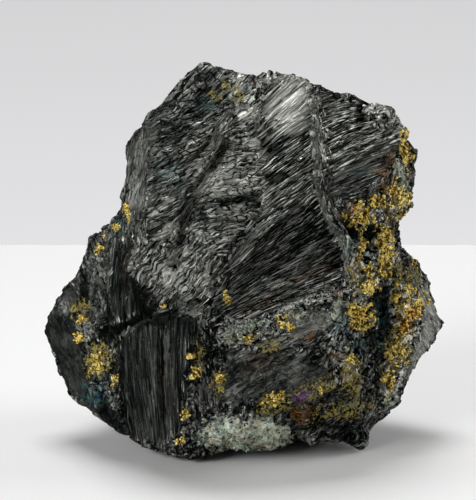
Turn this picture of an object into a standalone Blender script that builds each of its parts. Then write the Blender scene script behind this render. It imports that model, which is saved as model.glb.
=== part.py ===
"""A hand specimen of wolframite: striated black blades grown together with brassy crusts and pale matrix.

The body is laid out as it is seen from the front. A point is given by how far across and how far up it
appears in a picture plane through the middle of the specimen, and by its depth, which is positive away
from the viewer.
"""

import math

import bmesh
import bpy
import numpy as np
from mathutils import Vector, noise
from mathutils.geometry import delaunay_2d_cdt

# Driving sizes, in metres
SPECIMEN_WIDTH = 0.080
LAYOUT_WIDTH = 80.0
UNIT = SPECIMEN_WIDTH / LAYOUT_WIDTH
VIEW_DISTANCE = 0.380
VIEW_TILT = math.radians(12.0)
AIM_ACROSS = -1.4
AIM_UP = 42.0
AIM_HEIGHT = 40.7 * UNIT

# Finish of the black ore
ORE_COLOUR = (0.045, 0.046, 0.047, 1.0)
ORE_ROUGHNESS = 0.42
ORE_METALLIC = 0.6

# Rounding of the rim, in layout units; low down, the back has none
EDGE_INSET = 1.3
EDGE_SWELL = 1.6
BACK_RING_ABOVE = 6.0

# Ribs and the hackly break all over, in layout units
RIB_HALF_WIDTH = 0.62
RIB_HEIGHT = 0.78
BREAK_SIZE = 7.0
BREAK_HEIGHT = 0.38
BREAK_FALLOFF = 0.9
BREAK_STEP = 2.0
BREAK_OCTAVES = 3
BREAK_OFFSET = 1.0
BREAK_GAIN = 2.0
GRAIN_SIZE = 2.2
GRAIN_HEIGHT = 0.25
BACK_ROUGHNESS = 1.7

# How quickly relief fades where the surface turns away from its side
SIDE_SHARPNESS = 3.0
SIDE_REST = 0.5

# Fineness of the solid: voxels in metres and the number of triangles
WORKING_VOXEL = 0.0006
FUSING_VOXEL = 0.0005
BODY_TRIANGLES = 9300

# Edge of the specimen as seen from the front, clockwise from the left tip: across, up, depth
OUTLINE = [
    (-40.0, 25.8, 8), (-39.4, 28.4, 8), (-38.0, 32.0, 8), (-36.0, 35.0, 8), (-34.0, 37.0, 9),
    (-33.0, 39.6, 9), (-31.0, 43.4, 9), (-29.4, 45.4, 9), (-27.0, 47.2, 9), (-25.6, 49.4, 9),
    (-24.8, 51.4, 8), (-24.2, 55.4, 7), (-23.8, 59.0, 6), (-24.0, 63.0, 6), (-22.8, 64.4, 6),
    (-21.0, 66.6, 6), (-17.8, 70.4, 6), (-15.0, 73.0, 6), (-13.0, 76.2, 6), (-11.8, 77.6, 6),
    (-10.0, 78.8, 6), (-8.0, 79.4, 7), (-6.4, 79.0, 7), (-4.0, 78.2, 8), (-0.8, 77.4, 8),
    (2.4, 77.0, 8), (3.4, 77.6, 7), (7.6, 77.4, 6), (10.0, 77.0, 6), (12.6, 76.6, 6),
    (13.6, 75.6, 7), (16.0, 74.8, 8), (18.0, 73.8, 9), (20.6, 73.6, 10), (23.0, 72.2, 10),
    (23.8, 71.2, 11), (25.0, 71.6, 11), (27.0, 71.4, 12), (29.0, 70.4, 12), (30.6, 68.8, 12),
    (31.6, 65.6, 12), (32.6, 64.0, 12), (34.0, 60.8, 12), (33.6, 58.0, 12), (34.0, 56.4, 12),
    (33.2, 52.0, 12), (32.2, 49.6, 12), (31.2, 47.6, 12), (30.6, 45.6, 12), (31.4, 42.6, 11),
    (33.0, 41.2, 12), (34.2, 39.6, 12), (36.4, 37.0, 12), (37.4, 35.4, 12), (37.0, 34.4, 11),
    (38.4, 30.8, 11), (39.0, 28.8, 11), (40.0, 26.8, 11), (39.0, 25.4, 10), (38.2, 23.6, 10),
    (35.4, 20.4, 9), (33.4, 16.8, 8), (31.6, 13.6, 7), (31.4, 12.0, 6), (30.2, 10.4, 5),
    (27.0, 7.8, 3), (25.4, 6.4, 0), (23.8, 3.0, -3), (20.6, 3.2, -5), (17.8, 4.0, -6),
    (16.0, 3.8, -7), (12.6, 3.8, -8), (10.4, 4.6, -8), (7.6, 2.6, -9), (5.0, 2.2, -10),
    (1.0, 1.8, -11), (-4.6, 2.2, -12), (-6.0, 1.4, -12), (-7.4, 0.4, -12), (-9.0, 0.0, -12),
    (-11.0, 0.2, -12), (-15.4, 1.2, -11), (-19.0, 2.0, -9), (-21.8, 3.2, -7), (-23.0, 4.8, -5),
    (-24.6, 5.4, -4), (-29.0, 8.2, -1), (-31.4, 9.8, 0), (-32.6, 11.0, 1), (-35.0, 12.6, 3),
    (-35.8, 14.4, 4), (-37.0, 17.0, 5), (-39.0, 22.4, 7),
]

# Creases and crests of the front, each a line of points: across, up, depth
FRONT_LINES = {
    "left shoulder": [
        (-16.4, 70.8, 2), (-17.0, 66.6, -2), (-18.0, 63.0, -5), (-19.0, 59.0, -8), (-19.6, 54.0, -10.5),
        (-20.2, 49.0, -12.5), (-21.4, 44.4, -13), (-21.0, 39.6, -14.5), (-19.8, 34.0, -16.5), (-18.6, 29.6, -18),
    ],
    "bundle edge": [(-26.6, 44.4, 2), (-28.2, 39.6, -1), (-28.6, 34.0, -3.5), (-28.2, 27.0, -6)],
    "bundle middle": [(-24.0, 44.0, -5.5), (-24.2, 38.0, -8.5), (-23.8, 30.0, -12)],
    "top knob": [(-11.0, 75.0, 1.5), (-7.6, 74.4, 3), (-4.6, 75.2, 2), (-1.0, 73.6, 2)],
    "knob lip": [
        (-14.6, 69.6, -2.5), (-10.0, 70.4, -2.5), (-5.4, 71.2, -1.5), (-1.0, 70.4, -1.5),
        (2.0, 72.0, 0),
    ],
    "hackly face": [
        (-12.0, 65.0, -7), (-14.0, 59.0, -10.5), (-15.4, 53.0, -13.5), (-16.0, 47.0, -17), (-17.0, 41.0, -19),
        (-15.4, 35.0, -21), (-12.0, 32.0, -22.5),
    ],
    "central groove": [
        (-2.6, 64.0, -7.5), (-6.0, 59.0, -9.5), (-9.4, 55.0, -11.5), (-11.0, 51.0, -13.5), (-12.4, 44.0, -17),
        (-13.4, 39.0, -19),
    ],
    "groove lip": [
        (-1.0, 61.0, -10.5), (-4.6, 56.0, -14), (-6.6, 51.0, -16.5), (-8.4, 45.0, -19.5), (-9.8, 39.0, -21.5),
        (-10.0, 34.0, -22.5),
    ],
    "fan root": [
        (0.0, 68.0, -5.5), (2.0, 62.0, -9.5), (1.0, 55.0, -15), (2.0, 51.0, -16), (-1.0, 45.0, -18.5),
        (-4.0, 39.0, -21), (-6.4, 32.0, -23),
    ],
    "bright facet foot": [(3.4, 68.4, -5), (7.0, 68.4, -5), (11.0, 67.6, -5.5)],
    "right edge ribbon": [
        (13.8, 72.0, 1), (13.8, 67.0, -4.5), (13.4, 62.0, -8.5), (14.2, 54.0, -12.5), (17.0, 48.0, -14.5),
        (20.0, 44.0, -14.5), (21.0, 39.6, -13.5), (21.4, 35.0, -14),
    ],
    "fan upper": [(7.0, 62.0, -9), (6.0, 56.0, -13), (3.4, 47.0, -17)],
    "fan middle": [(11.0, 62.0, -9), (10.6, 55.0, -12), (8.0, 49.0, -14.5)],
    "fan hollow": [(12.0, 49.0, -12.5), (15.0, 45.0, -11.5), (18.0, 41.0, -11.5), (11.0, 42.0, -13.5)],
    "fan lower": [(5.0, 39.6, -17), (-1.0, 35.0, -21)],
    "fan foot": [
        (19.0, 32.0, -15), (15.0, 35.0, -15), (7.0, 34.0, -18.5), (11.0, 30.0, -18.5),
        (3.0, 30.0, -21),
    ],
    "lower bundle left": [(-24.6, 25.0, -11.5), (-24.2, 18.0, -10.5), (-23.4, 10.0, -7.5)],
    "lower bundle crest": [(-19.0, 26.0, -18), (-18.6, 16.0, -17), (-17.8, 7.0, -14)],
    "lower bundle right": [
        (-11.0, 27.0, -22), (-11.0, 17.0, -21.5), (-11.0, 7.0, -17.5), (-13.0, 3.0, -14),
    ],
    "lobe ridge": [(-32.2, 27.0, -1), (-32.6, 22.0, -2.5), (-32.2, 15.0, -3)],
    "lobe lumps": [(-30.0, 27.0, -3.5), (-29.0, 19.0, -6), (-26.4, 14.4, -7), (-26.6, 9.0, -4.5)],
    "lobe foot": [(-30.0, 12.0, -4)],
    "lobe flank": [(-35.4, 32.0, 3), (-36.6, 26.0, 4), (-35.0, 19.0, 1), (-37.0, 22.0, 4)],
    "lobe hollow": [(-32.6, 34.0, 5)],
    "lobe top": [(-29.8, 36.0, -0.5), (-30.6, 41.0, 3)],
    "slab left": [(-6.0, 26.0, -22.5), (-6.0, 16.0, -21), (-7.0, 9.0, -18.5)],
    "slab": [(0.0, 25.0, -22), (0.0, 13.0, -20)],
    "slab right": [(11.0, 24.0, -19.5), (13.0, 17.0, -18.5)],
    "bronze blade": [(3.4, 10.4, -20.5), (11.0, 13.0, -20), (20.0, 16.4, -17)],
    "under the blade": [(11.0, 9.6, -16), (17.0, 10.0, -13.5), (23.0, 11.0, -10)],
    "bottom lumps": [(15.0, 5.6, -10), (21.0, 5.6, -8.5), (25.4, 9.0, -4)],
    "matrix": [(-8.0, 5.6, -16), (-1.0, 6.0, -16.5), (7.0, 6.0, -14)],
    "shoulder top": [(17.0, 69.6, 2), (22.0, 66.0, 0), (26.0, 63.0, 2), (30.6, 64.4, 5.5)],
    "green knob": [(28.0, 69.0, 7)],
    "shoulder band": [(17.0, 56.4, -9), (20.0, 60.4, -4.5), (16.6, 62.0, -5.5)],
    "shoulder hollow": [(21.0, 56.0, -5), (26.0, 57.0, -1), (30.0, 59.0, 4)],
    "brass upper": [(21.0, 51.0, -9.5), (25.0, 51.0, -5), (29.0, 52.0, 0), (31.6, 54.0, 5)],
    "brass cavities": [
        (21.4, 46.4, -8.5), (23.4, 42.0, -9.5), (25.4, 44.4, -5), (28.4, 44.0, -2.5),
        (30.0, 41.0, 0),
    ],
    "brass middle": [(25.4, 39.0, -7), (24.0, 32.0, -10.5), (25.0, 27.0, -10)],
    "dark cavity": [(28.0, 36.0, -4), (27.6, 29.0, -4)],
    "outer brass": [(30.6, 32.6, -2), (33.4, 28.0, 0.5), (30.2, 21.6, -4.5), (28.6, 16.0, -5)],
    "mica flange": [
        (33.0, 37.0, 3), (35.0, 32.0, 4.5), (37.0, 28.0, 6), (36.0, 25.0, 4.5), (33.4, 21.0, 1.5),
    ],
    "right foot": [(22.0, 23.0, -13), (24.6, 17.0, -9.5), (26.0, 12.0, -5.5), (30.0, 13.0, 0)],
}

# Broken back and underside, in true places: across, depth, height
BACK_POINTS = [
    (-7, 12, 71), (4, 15, 72), (14, 13, 70), (24, 17, 62), (-18, 11, 61), (-6, 20, 62), (9, 19, 62),
    (19, 22, 55), (-23, 13, 50), (-13, 23, 51), (0, 24, 52), (13, 28, 47), (27, 18, 46),
    (-32, 13, 36), (-25, 20, 39), (-13, 28, 40), (3, 27, 39), (16, 31, 34), (28, 22, 35),
    (34, 16, 30), (-35, 13, 24), (-29, 22, 25), (-18, 29, 22), (-4, 29, 24), (10, 31, 20),
    (22, 25, 22), (31, 18, 20), (-31, 12, 14), (-23, 23, 12), (-9, 27, 11), (3, 26, 9),
    (15, 26, 10), (26, 14, 12), (-25, 10, 6), (24, 10, 6), (-19, 17, 4), (-3, 23, 4), (14, 22, 4),
    (20, 10, 3.2), (-21, 8, 3), (-15, 14, -1.1), (-1, 18, -1.1), (12, 16, -1.1), (16, 9, -1.1),
    (-17, 7, -1.1), (-11, 0, -1.0), (3, 6, -1.1),
]

# Cracks, steps and ridges drawn over the front: points (across, up), half width, height off the surface
FRONT_STROKES = [
    ("long crack", [
        (-29.0, 37.0), (-28.6, 31.0), (-27.0, 25.4), (-23.0, 27.4), (-19.0, 28.2), (-15.0, 29.0),
        (-11.0, 31.4), (-6.4, 31.4),
    ], 0.9, -2.2),
    ("groove", [
        (-2.6, 64.0), (-6.0, 59.0), (-9.4, 55.0), (-11.0, 51.0), (-12.4, 44.0), (-13.4, 39.0),
    ], 0.8, -1.5),
    ("left crease", [(-16.4, 70.8), (-17.0, 66.6), (-18.0, 63.0), (-19.0, 59.0)], 0.6, -0.8),
    ("knob ledge", [(-17.0, 67.4), (-12.0, 67.0)], 0.6, -1.0),
    ("edge ribbon", [
        (13.6, 71.0), (13.6, 66.0), (13.4, 62.0), (14.4, 54.0), (17.2, 48.0), (20.2, 44.0), (21.0, 39.0),
    ], 0.8, 1.1),
    ("beside the ribbon", [(14.0, 50.0), (15.4, 46.4), (18.0, 42.6), (18.6, 39.6)], 1.2, -1.8),
    ("facet wedge", [(2.6, 68.0), (4.4, 62.6)], 0.8, -1.2),
    ("shoulder recess", [(17.0, 55.0), (22.0, 56.4), (28.0, 60.0)], 1.2, -1.4),
    ("shoulder blade", [(15.0, 56.4), (20.0, 61.0), (31.0, 65.0)], 1.1, 1.0),
    ("long blade", [(-4.0, 37.0), (1.0, 43.0), (7.0, 51.0)], 0.9, 1.2),
    ("notch", [(23.8, 71.4), (23.0, 68.0)], 0.7, -1.2),
    ("under the facet", [(-9.0, 74.0), (-6.0, 73.0)], 1.2, -1.0),
    ("bundle groove", [(-16.6, 27.0), (-17.0, 18.0), (-16.4, 8.0)], 0.6, -1.3),
    ("bundle rib", [(-20.6, 27.0), (-20.4, 16.0), (-19.8, 6.0)], 1.0, 0.9),
    ("bundle rib", [(-14.0, 27.0), (-13.8, 17.0), (-13.4, 7.0)], 1.0, 0.9),
    ("bundle side", [(-25.4, 25.0), (-25.2, 18.0), (-24.4, 9.0)], 0.7, -1.5),
    ("upper bundle rib", [(-23.4, 44.0), (-22.8, 37.0), (-21.6, 29.0)], 0.8, 0.9),
    ("upper bundle groove", [(-25.4, 43.0), (-25.4, 36.0), (-24.6, 28.6)], 0.7, -1.1),
    ("centre groove", [(-10.6, 27.0), (-9.4, 19.0), (-9.6, 8.0)], 0.7, -1.2),
    ("band step", [(-8.0, 21.0), (-3.0, 27.6), (6.0, 28.8), (17.0, 33.0)], 0.9, 1.0),
    ("slab top", [(-4.0, 23.0), (4.0, 23.6), (13.0, 26.4)], 0.8, -1.0),
    ("bronze blade", [(3.4, 10.6), (11.0, 13.2), (20.0, 16.6)], 0.9, 1.5),
    ("under the blade", [(9.0, 8.4), (16.0, 10.6), (22.0, 13.0)], 1.2, -1.6),
    ("curved ridge", [(17.6, 25.0), (20.0, 22.6), (22.4, 24.6)], 0.8, 0.9),
    ("brass cavity", [(20.6, 47.0), (21.4, 45.0)], 1.1, -1.6),
    ("brass cavity", [(25.0, 45.4), (26.0, 43.0)], 1.1, -1.5),
    ("brass cavity", [(27.4, 47.6), (29.4, 47.2)], 0.9, -1.2),
    ("dark cavity", [(28.2, 34.0), (27.4, 29.0), (27.8, 24.4)], 1.1, -1.9),
    ("outer cavity", [(29.4, 20.0), (30.0, 18.6)], 0.9, -1.2),
    ("wavy vein", [(24.0, 45.0), (24.8, 40.0), (24.4, 37.0)], 0.6, 0.8),
    ("wavy vein", [(29.8, 44.6), (30.6, 39.0), (30.0, 35.0)], 0.6, 0.8),
    ("lobe furrow", [(-32.4, 36.6), (-31.4, 31.4), (-31.8, 28.4)], 1.2, -1.4),
    ("right strip", [(31.2, 21.6), (34.6, 15.6)], 0.7, -0.8),
    ("void under the matrix", [(-5.4, 1.6), (-3.8, 2.4)], 0.9, -1.6),
    ("plate", [(-18.2, 46.6), (-14.6, 47.6)], 1.7, 0.8),
    ("plate foot", [(-19.6, 42.8), (-14.0, 42.8)], 0.5, -1.0),
    ("plate", [(-18.0, 38.6), (-15.0, 37.0)], 1.6, 0.7),
    ("plate", [(-11.4, 45.6), (-12.4, 39.6)], 0.9, 0.8),
    ("plate", [(-7.2, 57.2), (-1.6, 56.4)], 1.8, 0.8),
    ("plate foot", [(-8.0, 53.0), (-3.0, 53.2), (1.0, 51.6)], 0.6, -1.0),
    ("plate", [(-7.0, 48.6), (-3.0, 48.0)], 1.6, 0.6),
    ("plate", [(-16.0, 60.6), (-10.0, 62.6)], 1.2, 0.8),
    ("plate foot", [(-17.4, 58.4), (-10.6, 60.0)], 0.6, -0.9),
    ("plate", [(-17.4, 54.6), (-13.0, 56.6)], 1.2, 0.7),
    ("plate foot", [(-18.0, 51.4), (-13.0, 53.6)], 0.6, -0.9),
    ("wavy plate", [(-4.0, 66.6), (1.0, 65.0)], 1.2, 0.7),
    ("plate foot", [(-3.6, 63.0), (1.6, 61.6)], 0.6, -0.8),
]

# The same over the back, seen square on: points (across, height)
BACK_STROKES = [
    ("ledge", [(-20, 58), (-8, 63), (6, 61), (16, 64)], 1.4, 1.6),
    ("crack", [(-20, 55), (-8, 60), (6, 58), (18, 60)], 1.0, -2.0),
    ("ridge", [(-13, 52), (-11, 40), (-16, 26), (-12, 12)], 1.6, 2.0),
    ("crack", [(-16, 50), (-15, 40), (-20, 27), (-17, 12)], 0.9, -1.9),
    ("ridge", [(12, 52), (15, 40), (12, 25), (16, 10)], 1.5, 1.8),
    ("crack", [(9, 50), (11, 38), (8, 24), (11, 10)], 0.9, -1.8),
    ("step", [(-30, 33), (-22, 35), (-17, 31)], 1.1, -1.7),
    ("step", [(18, 35), (26, 32), (33, 33)], 1.1, -1.7),
    ("step", [(-8, 30), (0, 33), (7, 31)], 1.2, 1.5),
    ("step", [(-9, 27), (0, 29), (7, 27)], 0.9, -1.6),
    ("hollow", [(-3, 46), (4, 48)], 2.4, -1.6),
    ("hollow", [(22, 46), (25, 42)], 2.2, -1.5),
    ("hollow", [(-27, 22), (-24, 17)], 2.0, -1.4),
]

# Rounded lumps of brassy and pale grains: across, up, radius, height
FRONT_LUMPS = [
    (-30.0, 26.8, 1.8, 1.2), (-28.6, 19.0, 2.2, 1.3), (-30.4, 16.4, 1.5, 0.9),
    (-26.0, 14.4, 1.4, 0.9), (-32.4, 24.4, 1.3, 0.9), (-33.6, 28.0, 1.4, 0.9),
    (-29.0, 11.6, 1.9, 1.2), (-32.0, 12.4, 1.6, 1.0), (-27.4, 46.0, 1.3, 0.8),
    (-29.6, 42.4, 1.5, 0.9), (-24.0, 53.0, 1.3, 0.7), (7.6, 27.2, 1.5, 1.3), (9.6, 28.6, 1.2, 1.0),
    (0.0, 26.0, 1.5, 0.9), (4.4, 28.6, 1.5, 0.8), (-3.6, 24.4, 1.5, 0.8), (-11.0, 21.4, 1.2, 0.8),
    (-9.2, 16.8, 1.6, 1.0), (-5.6, 17.4, 1.2, 0.8), (-12.6, 9.4, 1.4, 0.9), (5.6, 12.2, 1.3, 0.9),
    (12.0, 9.2, 2.2, 1.4), (16.6, 11.6, 1.4, 0.8), (13.6, 5.0, 1.8, 1.1), (18.0, 5.0, 1.5, 0.9),
    (22.6, 4.4, 1.7, 1.2), (21.0, 18.0, 1.3, 0.8), (21.6, 23.6, 1.6, 1.0), (22.0, 51.0, 1.9, 1.1),
    (25.4, 50.0, 1.5, 1.0), (28.4, 50.6, 1.6, 1.1), (27.6, 44.6, 1.6, 1.2), (24.2, 41.0, 1.3, 1.0),
    (22.6, 43.0, 1.2, 0.8), (24.0, 34.6, 1.6, 1.1), (23.0, 31.0, 1.9, 1.3), (25.4, 28.6, 1.6, 1.0),
    (24.6, 24.8, 1.4, 0.9), (31.0, 33.6, 1.6, 1.4), (31.4, 30.2, 1.4, 1.0), (33.4, 27.6, 2.3, 1.5),
    (31.4, 24.6, 1.7, 1.1), (30.0, 21.2, 2.2, 1.6), (28.6, 16.0, 1.9, 1.3), (32.8, 61.4, 1.7, 1.0),
    (32.2, 57.0, 1.4, 1.0), (29.6, 59.0, 1.6, 0.9), (31.6, 51.0, 1.6, 1.0), (33.6, 38.8, 1.3, 0.9),
    (28.0, 68.6, 2.0, 1.2), (25.0, 69.0, 1.5, 0.9), (30.2, 65.6, 1.6, 0.9), (27.0, 11.0, 1.5, 1.0),
    (29.6, 12.0, 1.3, 0.9), (-5.0, 74.2, 1.4, 0.8), (-2.0, 73.0, 1.3, 0.8), (-8.0, 78.0, 1.9, 0.9),
    (-11.0, 4.0, 1.6, 1.0), (-1.0, 6.0, 2.6, 0.9), (5.0, 5.6, 2.2, 0.9), (-6.0, 5.2, 2.0, 0.8),
    (16.0, 31.6, 1.4, 0.8), (19.0, 27.6, 1.5, 0.8), (21.0, 13.4, 1.4, 0.9),
]

BACK_LUMPS = [
    (-30, 40, 2.0, 1.4), (-26, 44, 1.7, 1.2), (-33, 30, 1.8, 1.2), (-28, 12, 2.1, 1.4),
    (-24, 8, 1.7, 1.1), (29, 40, 2.0, 1.4), (31, 46, 1.8, 1.3), (27, 52, 2.1, 1.4),
    (33, 26, 2.0, 1.4), (29, 18, 1.8, 1.3), (24, 14, 2.2, 1.4), (20, 8, 1.8, 1.2),
    (2, 20, 2.3, 1.4), (-1, 15, 1.9, 1.2), (5, 13, 1.8, 1.1), (-18, 66, 1.6, 1.0),
    (16, 68, 1.8, 1.1), (22, 62, 1.6, 1.0),
]

# Sets of blades seen edge on: guides that each run along a blade, and how many ribs lie between two guides
FRONT_RIB_SETS = [
    ([((4.0, 69.0), (11.0, 75.6)), ((3.4, 59.0), (13.0, 67.0))], 3),
    ([((3.4, 59.0), (13.0, 67.0)), ((-3.6, 40.0), (13.6, 53.0))], 5),
    ([((-3.6, 40.0), (13.6, 53.0)), ((-4.4, 32.4), (20.4, 38.6))], 4),
    ([((15.4, 71.0), (22.0, 72.6)), ((15.2, 60.0), (30.0, 66.6))], 4),
    ([((16.0, 57.0), (30.6, 63.6)), ((18.0, 52.0), (31.0, 59.0))], 2),
    ([((-23.4, 24.0), (-22.4, 6.0)), ((-12.0, 27.0), (-12.0, 5.0))], 4),
    ([((-27.4, 41.0), (-27.6, 29.0)), ((-21.8, 43.0), (-19.8, 31.0))], 3),
    ([((-14.0, 68.0), (-18.6, 46.0)), ((-5.0, 61.0), (-14.0, 38.0))], 3),
]
BACK_RIB_SETS = [
    ([((-12.0, 66.0), (-20.0, 56.0)), ((14.0, 69.0), (10.0, 61.0))], 8),
    ([((-9.0, 57.0), (-10.0, 33.0)), ((9.0, 55.0), (7.0, 34.0))], 6),
    ([((-30.0, 32.0), (-18.0, 27.0)), ((-28.0, 14.0), (-19.0, 8.0))], 5),
    ([((14.0, 54.0), (28.0, 48.0)), ((16.0, 38.0), (31.0, 36.0))], 5),
]



def seen(across, up, depth):
    """The point that appears at across, up in the picture plane and lies at this depth."""
    eye, forward, right, upward = sight()
    aim = eye + forward * VIEW_DISTANCE
    on_plane = aim + right * ((across - AIM_ACROSS) * UNIT) + upward * ((up - AIM_UP) * UNIT)
    ray = on_plane - eye
    return eye + ray * ((depth * UNIT - eye.y) / ray.y)


def sight():
    """The viewer's eye with the forward, right and upward directions of the picture."""
    forward = Vector((0.0, math.cos(VIEW_TILT), -math.sin(VIEW_TILT)))
    right = Vector((1.0, 0.0, 0.0))
    upward = Vector((0.0, math.sin(VIEW_TILT), math.cos(VIEW_TILT)))
    aim = Vector((AIM_ACROSS * UNIT, 0.0, AIM_HEIGHT))
    return aim - forward * VIEW_DISTANCE, forward, right, upward


def in_picture(points):
    """Where an array of points appears in the picture plane, in layout units."""
    eye, forward, right, upward = (np.array(vector) for vector in sight())
    offset = points - eye
    scale = VIEW_DISTANCE / (offset @ forward) / UNIT
    return np.stack([AIM_ACROSS + offset @ right * scale, AIM_UP + offset @ upward * scale], axis=1)


def ring_inside(outline):
    """The outline moved inwards, for the rounding between its front and its back."""
    ring = []
    for index, (across, up, depth) in enumerate(outline):
        before = outline[index - 1]
        after = outline[(index + 1) % len(outline)]
        along = Vector((after[0] - before[0], after[1] - before[1])).normalized()
        ring.append((across + along.y * EDGE_INSET, up - along.x * EDGE_INSET, depth))
    return ring


def add_sheet(mesh, rim, points, lines, faces_back):
    """Stretches triangles between the rim and the points behind or in front of it."""
    count = len(rim)
    flat = [Vector(pair) for pair in in_picture(np.array([vertex.co for vertex in rim] + points))]
    rim_edges = [(index, (index + 1) % count) for index in range(count)]
    line_edges = [(count + start, count + end) for start, end in lines]
    _, _, faces, origins, _, _ = delaunay_2d_cdt(flat, rim_edges + line_edges, [list(range(count))], 1, 1e-6)
    placed = list(rim) + [mesh.verts.new(point) for point in points]
    for face in faces:
        corners = [placed[origins[corner][0]] for corner in face]
        if faces_back:
            corners.reverse()
        mesh.faces.new(corners)


def front_points():
    """The front's inner points with the lines that join them, and the forward rounding of the rim."""
    points = []
    lines = []
    for line in FRONT_LINES.values():
        first = len(points)
        points += [seen(*point) for point in line]
        lines += [(index, index + 1) for index in range(first, len(points) - 1)]
    points += [seen(across, up, depth - EDGE_SWELL) for across, up, depth in ring_inside(OUTLINE)]
    return points, lines


def back_points():
    """The back's inner points, and the backward rounding of the rim where it isn't resting low."""
    points = [Vector(point) * UNIT for point in BACK_POINTS]
    for across, up, depth in ring_inside(OUTLINE):
        if up > BACK_RING_ABOVE:
            points.append(seen(across, up, depth + EDGE_SWELL))
    return points


def body_block():
    """The specimen's main facets as one closed mesh."""
    mesh = bmesh.new()
    rim = [mesh.verts.new(seen(*point)) for point in OUTLINE]
    points, lines = front_points()
    add_sheet(mesh, rim, points, lines, False)
    add_sheet(mesh, rim, back_points(), [], True)
    bmesh.ops.recalc_face_normals(mesh, faces=mesh.faces[:])
    return mesh


def refined(data, name, **settings):
    """The mesh after one modifier, as new mesh data."""
    holder = bpy.data.objects.new(name, data)
    bpy.context.collection.objects.link(holder)
    modifier = holder.modifiers.new(name, settings.pop("kind"))
    for setting, value in settings.items():
        setattr(modifier, setting, value)
    evaluated = holder.evaluated_get(bpy.context.evaluated_depsgraph_get())
    result = bpy.data.meshes.new_from_object(evaluated)
    bpy.data.objects.remove(holder)
    return result


def distance_to_line(places, line):
    """How far each place in the picture is from a line of points."""
    nearest = np.full(len(places), np.inf)
    for start, end in zip(line, line[1:]):
        start, run = np.array(start), np.subtract(end, start)
        share = np.clip((places - start) @ run / (run @ run), 0.0, 1.0)
        nearest = np.minimum(nearest, np.linalg.norm(places - start - share[:, None] * run, axis=1))
    return nearest


def rib_lines(rib_sets):
    """Every rib as a line, spread evenly between the guides of its set."""
    for guides, count in rib_sets:
        for (left_a, right_a), (left_b, right_b) in zip(guides, guides[1:]):
            for step in range(count):
                share = (step + 0.5) / count
                left = Vector(left_a).lerp(Vector(left_b), share)
                right = Vector(right_a).lerp(Vector(right_b), share)
                yield [left, right]


def relief(places, strokes, rib_sets, lumps):
    """Height of the cracks, ledges, ribs and lumps at each place of one side, in layout units."""
    height = np.zeros(len(places))
    for _, line, half_width, rise in strokes:
        height += rise * np.exp(-((distance_to_line(places, line) / half_width) ** 2))
    for line in rib_lines(rib_sets):
        height += RIB_HEIGHT * np.exp(-((distance_to_line(places, line) / RIB_HALF_WIDTH) ** 2))
    for across, up, radius, rise in lumps:
        away = np.linalg.norm(places - np.array((across, up)), axis=1) / radius
        height += rise * np.sqrt(np.clip(1.0 - away * away, 0.0, 1.0))
    return height


def broken_relief(points):
    """Height of the hackly break at each point in space, in layout units."""
    height = np.empty(len(points))
    for index, point in enumerate(points):
        place = Vector(point) / UNIT
        coarse = noise.ridged_multi_fractal(
            place / BREAK_SIZE, BREAK_FALLOFF, BREAK_STEP, BREAK_OCTAVES, BREAK_OFFSET, BREAK_GAIN
        )
        fine = noise.noise(place / GRAIN_SIZE)
        height[index] = BREAK_HEIGHT * (coarse - 1.0) + GRAIN_HEIGHT * fine
    return height


def carve(data):
    """Moves the surface out and in to its ledges, ribs, pits and lumps."""
    count = len(data.vertices)
    points = np.empty(count * 3)
    normals = np.empty(count * 3)
    data.vertices.foreach_get("co", points)
    data.vertex_normals.foreach_get("vector", normals)
    points = points.reshape(-1, 3)
    normals = normals.reshape(-1, 3)
    eye = np.array(sight()[0])
    to_eye = eye - points
    to_eye /= np.linalg.norm(to_eye, axis=1)[:, None]
    facing = np.clip((normals * to_eye).sum(axis=1) * SIDE_SHARPNESS + SIDE_REST, 0.0, 1.0)
    behind = np.clip(normals[:, 1] * SIDE_SHARPNESS, 0.0, 1.0)
    height = facing * relief(in_picture(points), FRONT_STROKES, FRONT_RIB_SETS, FRONT_LUMPS)
    height += behind * relief(points[:, [0, 2]] / UNIT, BACK_STROKES, BACK_RIB_SETS, BACK_LUMPS)
    height += broken_relief(points) * (BACK_ROUGHNESS - (BACK_ROUGHNESS - 1.0) * facing)
    points += normals * (height * UNIT)[:, None]
    data.vertices.foreach_set("co", points.ravel())
    data.update()


def cut_flat(mesh):
    """Cuts the underside off at the ground and closes it with a flat face."""
    everything = mesh.verts[:] + mesh.edges[:] + mesh.faces[:]
    bmesh.ops.bisect_plane(mesh, geom=everything, plane_co=(0, 0, 0), plane_no=(0, 0, -1), clear_outer=True)
    open_edges = [edge for edge in mesh.edges if edge.is_boundary]
    bmesh.ops.holes_fill(mesh, edges=open_edges)
    bmesh.ops.triangulate(mesh, faces=mesh.faces[:])


def keep_largest(mesh):
    """Deletes chips that hang loose beside the main body."""
    unseen = set(mesh.verts)
    bodies = []
    while unseen:
        waiting = [unseen.pop()]
        body = list(waiting)
        while waiting:
            for edge in waiting.pop().link_edges:
                for vertex in edge.verts:
                    if vertex in unseen:
                        unseen.remove(vertex)
                        waiting.append(vertex)
                        body.append(vertex)
        bodies.append(body)
    bodies.sort(key=len)
    for body in bodies[:-1]:
        bmesh.ops.delete(mesh, geom=body, context="VERTS")


def centre_on_origin(mesh):
    """Puts the middle of the specimen's footprint on the origin."""
    xs = [vertex.co.x for vertex in mesh.verts]
    ys = [vertex.co.y for vertex in mesh.verts]
    middle = Vector(((min(xs) + max(xs)) / 2, (min(ys) + max(ys)) / 2, 0.0))
    bmesh.ops.translate(mesh, verts=mesh.verts[:], vec=-middle)


def wolframite_material():
    """Black ore with a dull metallic sheen."""
    material = bpy.data.materials.new("wolframite")
    material.use_nodes = True
    shader = material.node_tree.nodes["Principled BSDF"]
    shader.inputs["Base Color"].default_value = ORE_COLOUR
    shader.inputs["Roughness"].default_value = ORE_ROUGHNESS
    shader.inputs["Metallic"].default_value = ORE_METALLIC
    return material


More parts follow.
